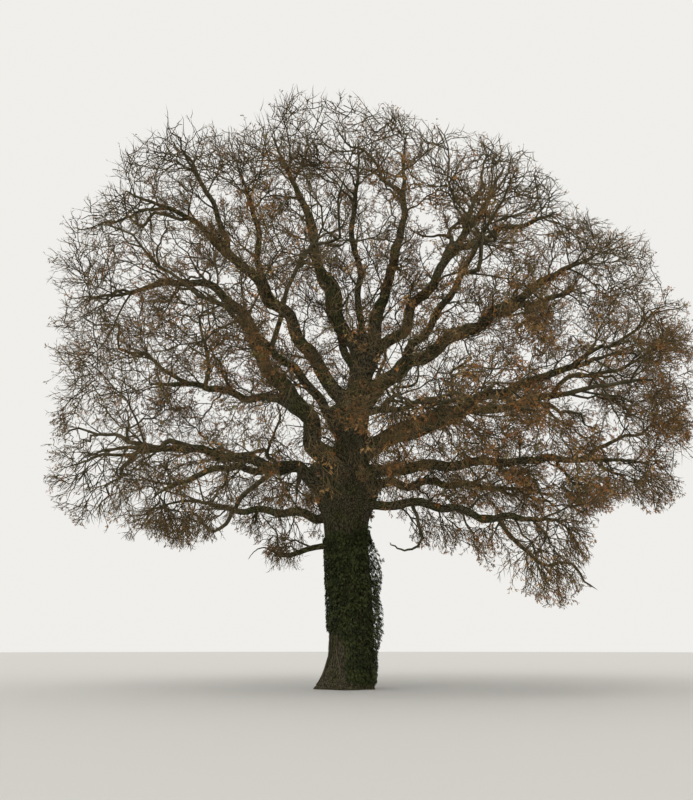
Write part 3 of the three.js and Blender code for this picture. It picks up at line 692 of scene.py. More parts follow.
REACH_STEP_DOWN = 0.8  # the most that its foot measures, as a share of the limb that carries it
# Places where single branches stand out on the outline.
OUTLINE_TIPS = (
    (-10.3, 0.5, 19.2), (-9.4, 0.2, 20.9), (-8.3, -0.5, 21.4), (-7.6, 0.6, 22.6), (-10.9, -0.4, 17.6),
    (-11.2, 0.6, 9.3), (-10.9, 0.3, 13.8), (11.9, 0.2, 17.2), (12.8, -0.3, 14.2), (12.2, -0.4, 6.7),
    (8.7, -1.4, 3.4), (7.2, -1.8, 3.6), (4.4, -2.4, 4.6), (-9.4, 0.4, 6.4),
)
REACH_RULE = dict(children=0, first=0.12, last=1.0, lean=48, ratio=0.5)
REACH_TWIG_STEP = 0.64  # between one twig and the next along a reaching branch
REACH_TWIG_LENGTH = 2.9  # past this length its twigs grow no longer
TRUNK_SPRIGS = 24
SPRIG_SHARE = 0.7  # sprigs stand on this share of a bough, from its foot
SPRIG_STEP = 0.8
SPRIG_HEIGHTS = (6.4, 12.3)
SPRIG_LENGTH = (0.5, 1.2)
SPRIG_RADIUS = 0.02
SPRIG_SUNK = 0.05  # how deep they start in the trunk's bark
SPRIG_FOOT = 0.8  # on a bough they start at this share of its radius
SPRIG_UPWARD = 0.6
SPRIG_LOOSE = 0.5
SPRIGS_KEPT = 0.3  # the share of them that is there on the barest side of the crown
THINNING = ((13, 0.15), (17, 0.55), (21, 0.85))  # the share of twigs gone at the skin, by height
CLUMP_SIZE = 1.9  # twigs stand in clumps of about this size, with open sky between them
CLUMP_KEPT = 0.84  # the share of twigs kept midway between a clump and a gap
CLUMP_CONTRAST = 1.0
CLUMP_LEAST = 0.12  # the share kept in a gap
INNER_REACH = 5  # so near the crown's heart the limbs stand barer of twigs
INNER_BARE = 0.9
LUSH_FROM = -2  # the leafier side of the crown begins here from left to right,
LUSH_ACROSS = 4  # over about this width,
LUSH_BELOW = 14.5  # and ends at this height,
LUSH_UP = 3  # over about this rise
LUSH_MORE = 0.17  # it keeps this much more of its twigs,
LUSH_EVEN = 0.6  # and its gaps are fainter by this share
# The crown is a lumpy dome, given by its reach to each side at each height, and cut to the outline
# that the viewer sees in the plane of the trunk.
CROWN_HEIGHTS = (5, 7.6, 9.1, 10.7, 13.5, 15.1, 17.4, 19.3, 20.9, 22, 22.8, 23.5)
CROWN_LEFT = (9.8, 12, 12.4, 12, 11.9, 12.2, 11.9, 11.3, 10.8, 9.2, 7.4, 4.6)
CROWN_RIGHT = (11.3, 12.6, 13.3, 13.7, 13.6, 13.2, 12.4, 10.4, 8.3, 6.2, 4.2, 2)
CROWN_FRONT = (9.4, 10.7, 11.1, 11.1, 10.8, 10.4, 9.3, 8, 6.5, 5, 3.6, 1.8)
CROWN_BACK = (9.4, 10.7, 11.2, 11.2, 11, 10.6, 9.6, 8.4, 6.8, 5.3, 3.8, 2)
CROWN_LUMPS = ((0.035, 5, 0.9, 0), (0.03, 9, -0.7, 2))  # size, how many round, twist, start
VIEWER = np.array((-0.2, -38.0, 1.6))
EDGE_HEIGHTS = (5, 6.2, 7.6, 9.1, 10.7, 13.5, 14.4, 15.5, 17.2, 19.3, 20.9, 22, 23.9)
LEFT_EDGE = (9.5, 10.9, 11.9, 12.3, 11.7, 11.6, 12, 12.1, 11.8, 11, 10.7, 9.2, 8)
RIGHT_EDGE = (11.3, 12.1, 12.4, 13.2, 13.6, 13.6, 13.3, 11.7, 12.3, 9.8, 7.6, 5.6, 2)
TOP_PLACES = (-12, -10.9, -10, -9.5, -8.4, -7.8, -6.2, -5, -4.2, -2.5, 0, 2, 4.2, 5.9, 8.7, 9.6, 12, 13.4)
TOP = (17, 19.2, 19.8, 21.5, 21.9, 23.4, 22.8, 21.8, 23.1, 23.9, 23.8, 22.9, 22, 22.1, 20, 18, 17.6, 14)
UNDERSIDE_PLACES = (-12, -10, -6, -3.4, -3, -1.8, -1.2, 1.2, 3, 6, 8.5, 9, 10, 11, 12.6)
UNDERSIDE = (6.6, 5.9, 5.1, 5.4, 4.3, 4.3, 6.1, 6.6, 4.8, 3.4, 2.8, 6.3, 6.8, 6.7, 6.1)
EDGE_RAGGED = 0.28  # how far that outline strays
EDGE_WAVES = ((2.9, 1.7), (2.3, -1.3))  # waves up and across the outline, and from front to back
# Places in that plane where the crown is fuller of branches and leaves than it is elsewhere, and
# where it is more open: across, up and how wide.
FULLER_PLACES = (
    (1.8, 19.0, 1.8),
    (4.7, 18.2, 1.8),
    (7.6, 13.2, 2.0),
    (7.6, 9.6, 1.8),
    (-5.4, 11.0, 2.0),
    (-6.8, 16.9, 1.5),
    (-8.0, 14.2, 1.3),
    (-3.5, 18.6, 1.4),
    (-2.6, 12.8, 1.3),
)
OPEN_PLACES = (
    (-7.6, 21.9, 1.5),
    (7.8, 19.8, 1.7),
    (-0.2, 17.0, 1.0),
    (2.3, 11.5, 1.0),
    (-9.8, 7.7, 1.3),
    (12.3, 8.1, 1.0),
    (9.0, 5.5, 0.9),
)
FULLER_DEPTHS = (-4.5, 0, 4.5)  # branches reach for each fuller place so far in front and behind
FULLER_LOOSE = 0.6
FULLER_TWIGS = 0.5  # the share of twigs is that much more in the middle of a fuller place,
OPEN_TWIGS = 0.8  # and that much less in an open one
SKIN_DEPTHS = (0.4, 0.9, 1.5, 2.2, 3.0)  # the crown thins out over these depths below its skin
PIECE_LIMIT = 190000  # triangles
WOOD_STREAK = 0.35

crown_low = np.array(cad_box[0]) + BOX_MARGIN
crown_high = np.array(cad_box[1]) - BOX_MARGIN

masses = []
for bough in boughs.values():
    if "spread" in bough:
        out = unit(bough["tip"] - HEART)
        centre = bough["tip"] + SPACE_LEAD * bough["spread"] * out
        size = bough["spread"] * np.array((1, 1, SPACE_FLAT))
        masses.append(dict(bough=bough, centre=centre, size=size))
MASS_CENTRES = np.array([mass["centre"] for mass in masses])
MASS_SIZES = np.array([mass["size"] for mass in masses])


def depth_in(mass_index, points):
    """How far out in its mass's room each point lies: 0 at the centre and 1 at the skin."""
    return np.linalg.norm((points - MASS_CENTRES[mass_index]) / MASS_SIZES[mass_index], axis=-1)


def in_own_room(mass_index, points, margin):
    """Whether each point lies in its mass's room, and further out in every other room nearby."""
    own = depth_in(mass_index, points)
    inside = own <= SPACE_EDGE
    for other in range(len(masses)):
        apart = np.linalg.norm(MASS_CENTRES[mass_index] - MASS_CENTRES[other], axis=-1)
        near = apart < MASS_SIZES[mass_index, 0] + MASS_SIZES[other, 0]
        beside = near & (mass_index != other)
        inside &= ~beside | (own < depth_in(other, points) - margin)
    return inside


def room_ahead(mass_index, points, heading):
    """How far it is along each heading to the edge of the room."""
    q = (points - MASS_CENTRES[mass_index]) / MASS_SIZES[mass_index]
    d = heading / MASS_SIZES[mass_index]
    a = np.sum(d * d, -1)
    b = np.sum(q * d, -1)
    root = b * b - a * (np.sum(q * q, -1) - SPACE_EDGE**2)
    return np.where(root > 0, (np.sqrt(np.maximum(root, 0)) - b) / a, 0)


# The stems carry straight on from their boughs' tips.
for index, mass in enumerate(masses):
    bough = mass["bough"]
    heading = unit(bough["tip"] - bough_point(bough, 1 - 1 / bough["rings"]))
    start = bough["tip"] + GAP * heading
    mass["stem"] = dict(
        seed=child_seed(bough["seed"], 1),
        start=start,
        heading=heading,
        length=float(room_ahead(index, start, heading)),
        radius=STEM_THICKNESS * bough["radius"][1],
    )

# Balls along every limb and every stem's foot, which the branches keep clear of.
heights = np.arange(0, TRUNK_HEIGHT + 1e-9, BALL_STEP)
ball_places = [trunk_point(heights)]
ball_radii = [trunk_radius(heights, 0)]
ball_owners = ["trunk"] * len(heights)
for bough in boughs.values():
    count = math.ceil(bough["length"] / BALL_STEP)
    shares = np.arange(count + 1) / count
    ball_places.append(bough_point(bough, shares))
    ball_radii.append(bough_radius(bough, shares))
    ball_owners += [bough["name"]] * len(shares)
for mass in masses:
    stem = mass["stem"]
    past = STEM_GUARD * stem["length"] * np.arange(STEM_BALLS) / (STEM_BALLS - 1)
    ball_places.append(stem["start"] + past[:, None] * stem["heading"])
    ball_radii.append(np.full(STEM_BALLS, stem["radius"]))
    ball_owners += ["stem_" + mass["bough"]["name"]] * STEM_BALLS
ball_places = np.vstack(ball_places)
ball_radii = np.concatenate(ball_radii)
ball_owners = np.array(ball_owners)


def clear_of_limbs(mass_index, start, end, radius, at_bough):
    """Whether each stretch passes the limbs near its mass at a distance."""
    clear = np.ones(len(start), bool)
    for index in np.unique(mass_index):
        mine = np.nonzero(mass_index == index)[0]
        name = masses[index]["bough"]["name"]
        away = np.linalg.norm(ball_places - MASS_CENTRES[index], axis=-1)
        near = (away < NEARBY * MASS_SIZES[index, 0] + ball_radii) & (ball_owners != "stem_" + name)
        if at_bough:
            near &= ball_owners != name
        balls = ball_places[near]
        stretch = end[mine] - start[mine]
        length = np.maximum(np.sum(stretch**2, -1), 1e-12)
        to_balls = balls[None] - start[mine][:, None]
        share = np.clip(np.sum(to_balls * stretch[:, None], -1) / length[:, None], 0, 1)
        gap = np.linalg.norm(share[..., None] * stretch[:, None] - to_balls, axis=-1)
        clear[mine] = np.all(gap > ball_radii[near] + radius[mine][:, None] + LIMB_CLEARANCE, -1)
    return clear


def seen_places(points):
    """Where the viewer sees points in the plane of the trunk, across and up."""
    nearer = 1 - points[..., 1] / VIEWER[1]
    return (VIEWER + (points - VIEWER) / nearer[..., None])[..., ::2]


def in_crown(points):
    """Whether points lie in the crown's dome and inside the outline that the viewer sees."""
    x, y, height = (points[..., axis] for axis in range(3))
    lumps = 1
    for size, count, twist, start in CROWN_LUMPS:
        lumps = lumps + size * np.sin(count * np.arctan2(y, x) + twist * height + start)
    left, right, front, back = (
        np.interp(height, CROWN_HEIGHTS, reach)
        for reach in (CROWN_LEFT, CROWN_RIGHT, CROWN_FRONT, CROWN_BACK)
    )
    domed = np.hypot(x / np.where(x < 0, left, right), y / np.where(y < 0, front, back)) < lumps
    seen = seen_places(points)
    (rising, back_and_forth), (crossing, forth_and_back) = EDGE_WAVES
    x = seen[..., 0] + EDGE_RAGGED * np.sin(rising * height + back_and_forth * y)
    height = seen[..., 1] + EDGE_RAGGED * np.sin(crossing * points[..., 0] + forth_and_back * y)
    left, right = (np.interp(height, EDGE_HEIGHTS, edge) for edge in (LEFT_EDGE, RIGHT_EDGE))
    above = height > np.interp(x, UNDERSIDE_PLACES, UNDERSIDE)
    below = height < np.interp(x, TOP_PLACES, TOP)
    boxed = np.all((points > crown_low) & (points < crown_high), -1)
    return domed & (x > -left) & (x < right) & above & below & boxed


def sways(seed, channel):
    """Three numbers from -1 to 1 for each seed, as a direction to stray in."""
    return np.stack([sway(seed, channel + axis) for axis in range(3)], -1)


def near_skin(points):
    """From 0 deep in the crown to 1 at its skin."""
    outward = unit(points - HEART)
    return np.mean([~in_crown(points + depth * outward) for depth in SKIN_DEPTHS], axis=0)


def grow_lines(twigs, level):
    """The lines that twigs grow along, as points for each step, and how many steps each grew."""
    rule = TWIG_LEVELS[level]
    steps = rule["steps"]
    seed, mass_index, length = twigs["seed"], twigs["mass"], twigs["length"]
    heading = twigs["heading"].copy()
    points = np.repeat(twigs["start"][:, None], steps + 1, axis=1)
    growing = length > 0
    reach = np.zeros(len(seed), int)
    for i in range(steps):
        at = points[:, i]
        at_bough = level == 0 and i == 0
        if not at_bough:
            heading += rule["out"] * unit(at - HEART)
            heading += rule["wander"] * sways(seed, 3 * i)
            heading[:, 2] -= np.where(at[:, 2] < DROOP_HEIGHT, DROOP, 0)
            heading = unit(heading)
        stepped = at.copy()
        found = np.zeros(len(seed), bool)
        for share in (1, SHORT_STEP):
            to = at + heading * (share * length / steps)[:, None]
            fits = growing & ~found & in_crown(to) & in_crown(to + TWIG_ROOM[level] * heading)
            if level < SOURCE_LEVELS:
                kept = fits & clear_of_limbs(mass_index, at, to, twigs["radius"], level == 0)
                if not at_bough:
                    kept &= in_own_room(mass_index, (at + to) / 2, SPACE_MARGIN)
                    kept &= in_own_room(mass_index, to, SPACE_MARGIN)
                fits &= kept | twigs["free"]
            else:
                fits &= (depth_in(mass_index, to) <= SPACE_EDGE) | twigs["free"]
            stepped[fits] = to[fits]
            found |= fits
        growing &= found
        reach += growing
        points[:, i + 1 :] = np.where(growing[:, None], stepped, at)[:, None]
    return points, reach


def bent_lines(lines, seed, parts, crookedness):
    """Each line drawn as a smooth one with so many parts to a step, each part a little crooked."""
    if parts == 1:
        return lines
    padded = np.concatenate(
        [2 * lines[:, :1] - lines[:, 1:2], lines, 2 * lines[:, -1:] - lines[:, -2:-1]], axis=1
    )
    finer = []
    for i in range(lines.shape[1] - 1):
        p0, p1, p2, p3 = (padded[:, i + k] for k in range(4))
        for part in range(parts):
            t = part / parts
            tangent = (p2 - p0) * t + (2 * p0 - 5 * p1 + 4 * p2 - p3) * t**2
            finer.append(p1 + 0.5 * (tangent + (3 * p1 - p0 - 3 * p2 + p3) * t**3))
    finer.append(lines[:, -1])
    finer = np.stack(finer, axis=1)
    part_length = np.linalg.norm(finer[:, 1] - finer[:, 0], axis=-1)
    for k in range(1, finer.shape[1] - 1):
        finer[:, k] += (crookedness * part_length)[:, None] * sways(seed, 40 + 3 * k)
    return finer


def along_line(lines, share):
    """A point at each line's share of its length, and the line's heading there."""
    place = share * (lines.shape[1] - 1)
    i = np.minimum(lines.shape[1] - 2, np.floor(place).astype(int))
    rows = np.arange(len(lines))
    before = lines[rows, i]
    after = lines[rows, i + 1]
    return before + (place - i)[:, None] * (after - before), unit(after - before)


def leaning(along, turn, tilt):
    """Directions tilted away from these headings, towards the side that turn gives round them."""
    return turned(tilt, along, turned(turn, *square_to(along)))


def part_of(bundle, chosen):
    """Some twigs of a bundle."""
    return {key: value[chosen] for key, value in bundle.items()}


def joined(bundles):
    """One bundle of twigs from several."""
    return {key: np.concatenate([bundle[key] for bundle in bundles]) for key in bundles[0]}


def twigs_from(bundle, rule, least_radius):
    """The twigs that leave a bundle of parent twigs whose lines have the same number of points."""
    made = []
    for k in range(rule["children"] + rule["more"]):
        seed = child_seed(bundle["seed"], k)
        slip = PLACE_LOOSE * draw(seed, 20)
        if k < rule["children"]:
            place = (k + slip) / rule["children"]
            last = rule["last"]
        else:
            place = (k - rule["children"] + slip + EXTRA_LATE) / rule["more"]
            last = 1.0
        share = rule["first"] + (last - rule["first"]) * np.minimum(place, 1)
        along = along_line(bundle["rough"], share)[1]
        start = along_line(bundle["line"], share)[0]
        loose = SPIRAL_LOOSE * sway(seed, 22)
        turn = TURN * draw(bundle["seed"], 21) + np.radians(SPIRAL * k + loose)
        tilt = np.radians(rule["lean"] + LEAN_LOOSE * sway(seed, 23))
        heading = leaning(along, turn, tilt)
        fall = LENGTH_LOW + (LENGTH_HIGH - LENGTH_LOW) * share
        length = bundle["length"] * rule["ratio"] * fall * (1 + LENGTH_LOOSE * sway(seed, 24))
        free = bundle["free"] | (k >= rule["children"])
        room = room_ahead(bundle["mass"], start, heading)
        length = np.where(free, length, np.minimum(length, room))
        there = bundle["radius"] * (1 - TWIG_TAPER * share)
        radius = np.maximum(least_radius, TWIG_THICKNESS * there)
        made.append(
            dict(
                seed=seed,
                mass=bundle["mass"],
                free=free,
                spray=bundle["seed"],
                start=start,
                heading=heading,
                length=length,
                radius=radius,
            )
        )
    return joined(made)


def bundles_of(twigs, level):
    """Grows twigs, and sorts them into bundles by the number of steps that they grew."""
    points, reach = grow_lines(twigs, level)
    bundles = []
    parts = CROOKED_PARTS[level] if level < len(CROOKED_PARTS) else 1
    crookedness = CROOKEDNESS[level] if level < len(CROOKED_PARTS) else 0
    for steps in range(1, TWIG_LEVELS[level]["steps"] + 1):
        grown = np.nonzero(reach == steps)[0]
        if len(grown):
            bundle = part_of(twigs, grown)
            bundle["rough"] = points[grown, : steps + 1]
            bundle["line"] = bent_lines(bundle["rough"], bundle["seed"], parts, crookedness)
            bundles.append(bundle)
    return bundles


def stack_of(rows):
    """A bundle of twigs from a row of values for each of them."""
    return {key: np.array([row[key] for row in rows]) for key in rows[0]}


def side_shoots():
    """Side branches along every bough, which grow on as the rule's second level does."""
    rows = []
    for bough in boughs.values():
        owner = next((i for i, mass in enumerate(masses) if mass["bough"] is bough), 0)
        count = int((1 - SHOOT_FROM) * bough["length"] / SHOOT_STEP)
        for k in range(count):
            seed = child_seed(bough["seed"], 500 + k)
            share = SHOOT_FROM + (1 - SHOOT_FROM) * (k + draw(seed, 1)) / count
            before = bough_point(bough, share - HEADING_SHARE)
            along = unit(bough_point(bough, min(1, share + HEADING_SHARE)) - before)
            turn = np.radians(SPIRAL * k + SPIRAL_LOOSE * sway(seed, 2))
            tilt = np.radians(SHOOT_LEAN + SHOOT_LEAN_LOOSE * sway(seed, 3))
            low, high = SHOOT_LENGTH
            rows.append(
                dict(
                    seed=seed,
                    mass=owner,
                    free=True,
                    spray=seed,
                    start=bough_point(bough, share),
                    heading=leaning(along, turn, tilt),
                    length=low + (high - low) * draw(seed, 4),
                    radius=SHOOT_RADIUS,
                )
            )
    return stack_of(rows)


def lush_side(points):
    """From 0 on the bare left side and the top, to 1 on the leafy lower right."""
    right = 0.5 + 0.5 * np.tanh((points[:, 0] - LUSH_FROM) / LUSH_ACROSS)
    low = 0.5 + 0.5 * np.tanh((LUSH_BELOW - points[:, 2]) / LUSH_UP)
    return right * low


def near_places(points, places):
    """From 0 away from some places that the viewer sees, to 1 in the middle of one of them."""
    seen = seen_places(points)
    nearest = np.zeros(len(points))
    for x, height, size in places:
        away = np.linalg.norm(seen - (x, height), axis=-1)
        nearest = np.maximum(nearest, np.exp(-((away / size) ** 2)))
    return nearest


def crowding(points):
    """The share of the fine twigs that are there, less towards the skin and in the gaps."""
    lush = lush_side(points)
    clump = CLUMP_CONTRAST * (1 - LUSH_EVEN * lush) * slow_noise(points, CLUMP_SIZE)
    clump = CLUMP_KEPT + LUSH_MORE * lush + clump
    fuller = near_places(points, FULLER_PLACES)
    clump += FULLER_TWIGS * fuller - OPEN_TWIGS * near_places(points, OPEN_PLACES)
    thinning = np.interp(points[:, 2], *zip(*THINNING)) * (1 - LUSH_EVEN * lush) * (1 - fuller)
    inner = np.clip(1 - np.linalg.norm(points - HEART, axis=-1) / INNER_REACH, 0, 1)
    kept = (1 - thinning * near_skin(points)) * (1 - INNER_BARE * inner)
    return np.clip(clump, CLUMP_LEAST, 1) * kept


def skin_distance(directions):
    """How far it is from the crown's heart to its skin along each direction."""
    away = np.arange(*SKIN_SEARCH)
    inside = in_crown(HEART + directions[:, None] * away[:, None])
    return away[np.argmin(inside, axis=1) - 1]


def reach_line(foot, along, tip, outward, seed):
    """A crooked line that leaves a limb along its own heading and ends pointing outwards."""
    length = np.linalg.norm(tip - foot)
    ahead = (tip - foot) / length
    drooping = outward - np.array((0, 0, REACH_DROOP * (1 - max(0, outward[2]))))
    leave = foot + REACH_FULLNESS * length * unit(ahead + REACH_LEAVE * along)
    arrive = tip - REACH_FULLNESS * length * unit(ahead + REACH_ARRIVE * drooping)
    t = np.linspace(0, 1, REACH_STEPS + 1)[:, None]
    line = (1 - t) ** 3 * foot + 3 * t * (1 - t) ** 2 * leave + 3 * t**2 * (1 - t) * arrive + t**3 * tip
    for k in range(1, REACH_STEPS):
        line[k] += REACH_CROOK * length / REACH_STEPS * sways(seed, 10 + 3 * k)
    return line


def filling_tips():
    """Tips for more branches where the crown is fuller, in front of each place and behind it."""
    tips = []
    for x, height, size in FULLER_PLACES:
        for depth in FULLER_DEPTHS:
            seed = child_seed(child_seed(REACH_SEED, 3), len(tips))
            aside = FULLER_LOOSE * size * sway(seed, 1)
            above = FULLER_LOOSE * size * sway(seed, 2)
            seen = np.array((x + aside, 0, height + above))
            tips.append(VIEWER + (seen - VIEWER) * (1 - depth / VIEWER[1]))
    tips = np.array(tips)
    return tips[in_crown(tips)]


def row_of_seeds(seed, index, count):
    """Seeds for a row of like things that grow on what has this seed."""
    return child_seed(child_seed(seed, index) + np.arange(count).astype(np.uint64), 1)


def reaching_branches():
    """Branches to places spread evenly over the crown, each from the handiest limb or branch."""
    chosen_tips = np.vstack([OUTLINE_TIPS, filling_tips()])
    seed = row_of_seeds(REACH_SEED, 0, REACHERS + len(chosen_tips))
    number = np.arange(REACHERS)
    rise = 1 - (1 - REACH_LOWEST) * (number + 0.5) / REACHERS
    outward = np.sqrt(1 - rise**2)[:, None] * level_way(np.radians(SPIRAL) * number)
    outward[:, 2] = rise
    low, high = REACH_DEPTHS
    depth = draw(seed[:REACHERS], 1)
    inner = draw(seed[:REACHERS], 2) < REACH_INNER
    share = np.where(inner, low + (high - low) * depth, 1 - REACH_LOOSE * depth)
    tips = HEART + (skin_distance(outward) * share)[:, None] * outward
    tips = np.vstack([tips, chosen_tips])
    outward = unit(tips - HEART)
    feet, alongs, widths = [], [], []
    for bough in boughs.values():
        shares = np.linspace(*REACH_FEET, math.ceil(bough["length"] / REACH_FOOT_STEP))
        line = bough_point(bough, shares)
        feet.append(line)
        alongs.append(unit(np.gradient(line, axis=0)))
        widths.append(bough_radius(bough, shares))
    feet, alongs, widths = np.vstack(feet), np.vstack(alongs), np.concatenate(widths)
    taken = np.zeros(len(feet))
    carriers = np.full(len(feet), -1)
    away = np.min(np.linalg.norm(tips[:, None] - feet[None], axis=-1), axis=1)
    made = []
    for i in np.argsort(-away):
        across = tips[i] - feet
        length = np.linalg.norm(across, axis=-1)
        forward = np.sum(across * alongs, -1) / length
        cost = length * (1 + REACH_TURNING * (1 - forward)) + taken
        cost = cost + REACH_TOO_SHORT * (length < REACH_LEAST)
        foot = np.argmin(cost)
        line = reach_line(feet[foot], alongs[foot], tips[i], outward[i], seed[i])
        made.append(
            dict(
                seed=seed[i],
                mass=np.argmin(np.linalg.norm(tips[i] - MASS_CENTRES, axis=-1)),
                free=True,
                spray=seed[i],
                start=line[0],
                heading=unit(line[1] - line[0]),
                length=length[foot],
                radius=REACH_SLIMMEST + REACH_STOUTNESS * length[foot],
                rough=line,
                carrier=carriers[foot],
                there=widths[foot],
            )
        )
        taken += REACH_CROWDING * (np.linalg.norm(feet - feet[foot], axis=-1) < REACH_APART)
        carrying = range(*REACH_CARRYING)
        feet = np.vstack([feet, [line[k] for k in carrying]])
        alongs = np.vstack([alongs, [unit(line[k + 1] - line[k]) for k in carrying]])
        widths = np.concatenate([widths, [1 - TWIG_TAPER * k / REACH_STEPS for k in carrying]])
        taken = np.concatenate([taken, np.zeros(len(carrying))])
        carriers = np.concatenate([carriers, np.full(len(carrying), len(made) - 1)])
    for branch in reversed(made):
        if branch["carrier"] >= 0:
            carrier = made[branch["carrier"]]
            carrier["radius"] = math.hypot(carrier["radius"], branch["radius"])
    for branch in made:
        if branch["carrier"] >= 0:
            branch["there"] *= made[branch["carrier"]]["radius"]
        branch["radius"] = min(branch["radius"], REACH_STEP_DOWN * branch["there"])
    branches = stack_of(made)
    branches["line"] = bent_lines(branches["rough"], branches["seed"], REACH_PARTS, CROOKEDNESS[0])
    return branches


def twigs_on_reachers(least_radius):
    """Twigs set evenly along the reaching branches, more of them on a longer one."""
    first, last = REACH_RULE["first"], REACH_RULE["last"]
    counts = np.ceil((last - first) * reachers["length"] / REACH_TWIG_STEP).astype(int)
    made = []
    for count in np.unique(counts):
        some = part_of(reachers, counts == count)
        some["length"] = np.minimum(some["length"], REACH_TWIG_LENGTH)
        made.append(twigs_from(some, dict(REACH_RULE, more=int(count)), least_radius))
    return made


def sprigs():
    """Short leafy shoots on the trunk round the fork, and on the thick part of every bough."""
    seed = row_of_seeds(REACH_SEED, 2, TRUNK_SPRIGS)
    low, high = SPRIG_HEIGHTS
    height = low + (high - low) * draw(seed, 1)
    bearing = TURN * draw(seed, 2)
    outward = [level_way(bearing)]
    radius = trunk_radius(height, bearing) - SPRIG_SUNK
    start = [trunk_point(height) + radius[:, None] * outward[0]]
    seeds = [seed]
    for bough in boughs.values():
        count = int(SPRIG_SHARE * bough["length"] / SPRIG_STEP)
        seed = row_of_seeds(bough["seed"], 900, count)
        share = SPRIG_SHARE * (np.arange(count) + draw(seed, 1)) / count
        line = bough_point(bough, share)
        left, up = square_to(unit(bough_point(bough, share + HEADING_SHARE) - line))
        aside = turned(TURN * draw(seed, 2), left, up)
        outward.append(aside)
        start.append(line + SPRIG_FOOT * bough_radius(bough, share)[:, None] * aside)
        seeds.append(seed)
    seed, outward, start = np.concatenate(seeds), np.vstack(outward), np.vstack(start)
    heading = outward + np.array((0, 0, SPRIG_UPWARD)) + SPRIG_LOOSE * sways(seed, 3)
    low, high = SPRIG_LENGTH
    every = dict(
        seed=seed,
        mass=np.argmin(np.linalg.norm(start[:, None] - MASS_CENTRES[None], axis=-1), axis=1),
        free=np.ones(len(seed), bool),
        spray=seed,
        start=start,
        heading=unit(heading),
        length=low + (high - low) * draw(seed, 6),
        radius=np.full(len(seed), SPRIG_RADIUS),
    )
    share = SPRIGS_KEPT + (1 - SPRIGS_KEPT) * lush_side(start)
    return part_of(every, draw(seed, 7) < share)


reachers = reaching_branches()
grown = []  # bundles of twigs for each level
stems = stack_of([dict(mass["stem"], mass=i, free=False, spray=0) for i, mass in enumerate(masses)])
grown.append(bundles_of(stems, 0))
for level in range(len(TWIG_LEVELS) - 1):
    thin = LEAST_RADIUS[level + 1]
    young = [twigs_from(bundle, TWIG_LEVELS[level], thin) for bundle in grown[level]]
    if level == 0:
        young.append(side_shoots())
    if level == 1:
        young += twigs_on_reachers(thin)
        young.append(sprigs())
    twigs = joined(young)
    if level + 1 >= SOURCE_LEVELS:
        twigs = part_of(twigs, draw(twigs["seed"], 61) < crowding(twigs["start"]))
    grown.append(bundles_of(twigs, level + 1))
grown[0].append(reachers)


def twig_mesh(bundle, sides):
    """Vertices and triangles of a bundle of pointed twigs, each one closed at its base."""
    line = bundle["line"]
    count, points = line.shape[:2]
    last = points - 1
    shares = np.arange(points) / last
    radii = bundle["radius"][:, None] * (1 - TWIG_TAPER * shares)
    lefts, ups = frames_along(line)
    angles = TURN * np.arange(sides) / sides
    across = turned(angles, lefts[:, :-1, None], ups[:, :-1, None])
    rings = line[:, :-1, None] + radii[:, :-1, None, None] * across
    vertices = np.concatenate([rings.reshape(count, last * sides, 3), line[:, -1:]], axis=1)
    faces = [(0, j + 1, j) for j in range(1, sides - 1)]
    for i in range(last):
        for j in range(sides):
            a = i * sides + j
            b = i * sides + (j + 1) % sides
            if i < last - 1:
                faces.append((a, b, b + sides))
                faces.append((a, b + sides, a + sides))
            else:
                faces.append((a, b, last * sides))
    faces = np.array(faces)[None] + vertices.shape[1] * np.arange(count)[:, None, None]
    return vertices.reshape(-1, 3), faces.reshape(-1, 3)


def joined_piece(name, shapes, material):
    """One piece from several lots of vertices and triangles."""
    starts = np.cumsum([0] + [len(vertices) for vertices, _ in shapes])
    vertices = np.concatenate([vertices for vertices, _ in shapes])
    faces = np.concatenate([faces + start for (_, faces), start in zip(shapes, starts)])
    mesh = bpy.data.meshes.new(name)
    mesh.vertices.add(len(vertices))
    mesh.vertices.foreach_set("co", vertices.astype(np.float32).ravel())
    mesh.loops.add(faces.size)
    mesh.loops.foreach_set("vertex_index", faces.astype(np.int32).ravel())
    mesh.polygons.add(len(faces))
    mesh.polygons.foreach_set("loop_start", np.arange(len(faces), dtype=np.int32) * faces.shape[1])
    mesh.polygons.foreach_set("use_smooth", np.ones(len(faces), bool))
    mesh.update(calc_edges=True)
    mesh.materials.append(material)
    piece = bpy.data.objects.new(name, mesh)
    bpy.context.scene.collection.objects.link(piece)
    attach(piece, "root")
    return piece


def young_wood(name, colour, dark):
    """Smooth young bark with lighter and darker stretches."""
    material, start, surface = finish_material(name, {"Specular IOR Level": 0.15})
    streak = start.place().noise(WOOD_STREAK).step(0.35, 0.65)
    streak.between(dark, colour).to(surface["Base Color"])
    (0.95 - 0.15 * streak).to(surface["Roughness"])
    return material


BRANCH_WOOD = young_wood("branch_wood", (0.098, 0.082, 0.045, 1), (0.046, 0.041, 0.021, 1))
TWIG_WOOD = young_wood("twig_wood", (0.2, 0.137, 0.066, 1), (0.125, 0.088, 0.041, 1))
MASS_SIDES = np.array([side_of(mass["bough"]["name"]) for mass in masses])


def limited_pieces(name, shapes, material):
    """One piece, or as many numbered ones as keep each under the limit of triangles."""
    lots = [[]]
    filled = 0
    for shape in shapes:
        if filled and filled + len(shape[1]) > PIECE_LIMIT:
            lots.append([])
            filled = 0
        lots[-1].append(shape)
        filled += len(shape[1])
    pieces = []
    for number, lot in enumerate(lots):
        ending = "" if len(lots) == 1 else "_" + str(number + 1)
        piece = joined_piece(name + ending, lot, material)
        pieces.append(piece)
    return pieces


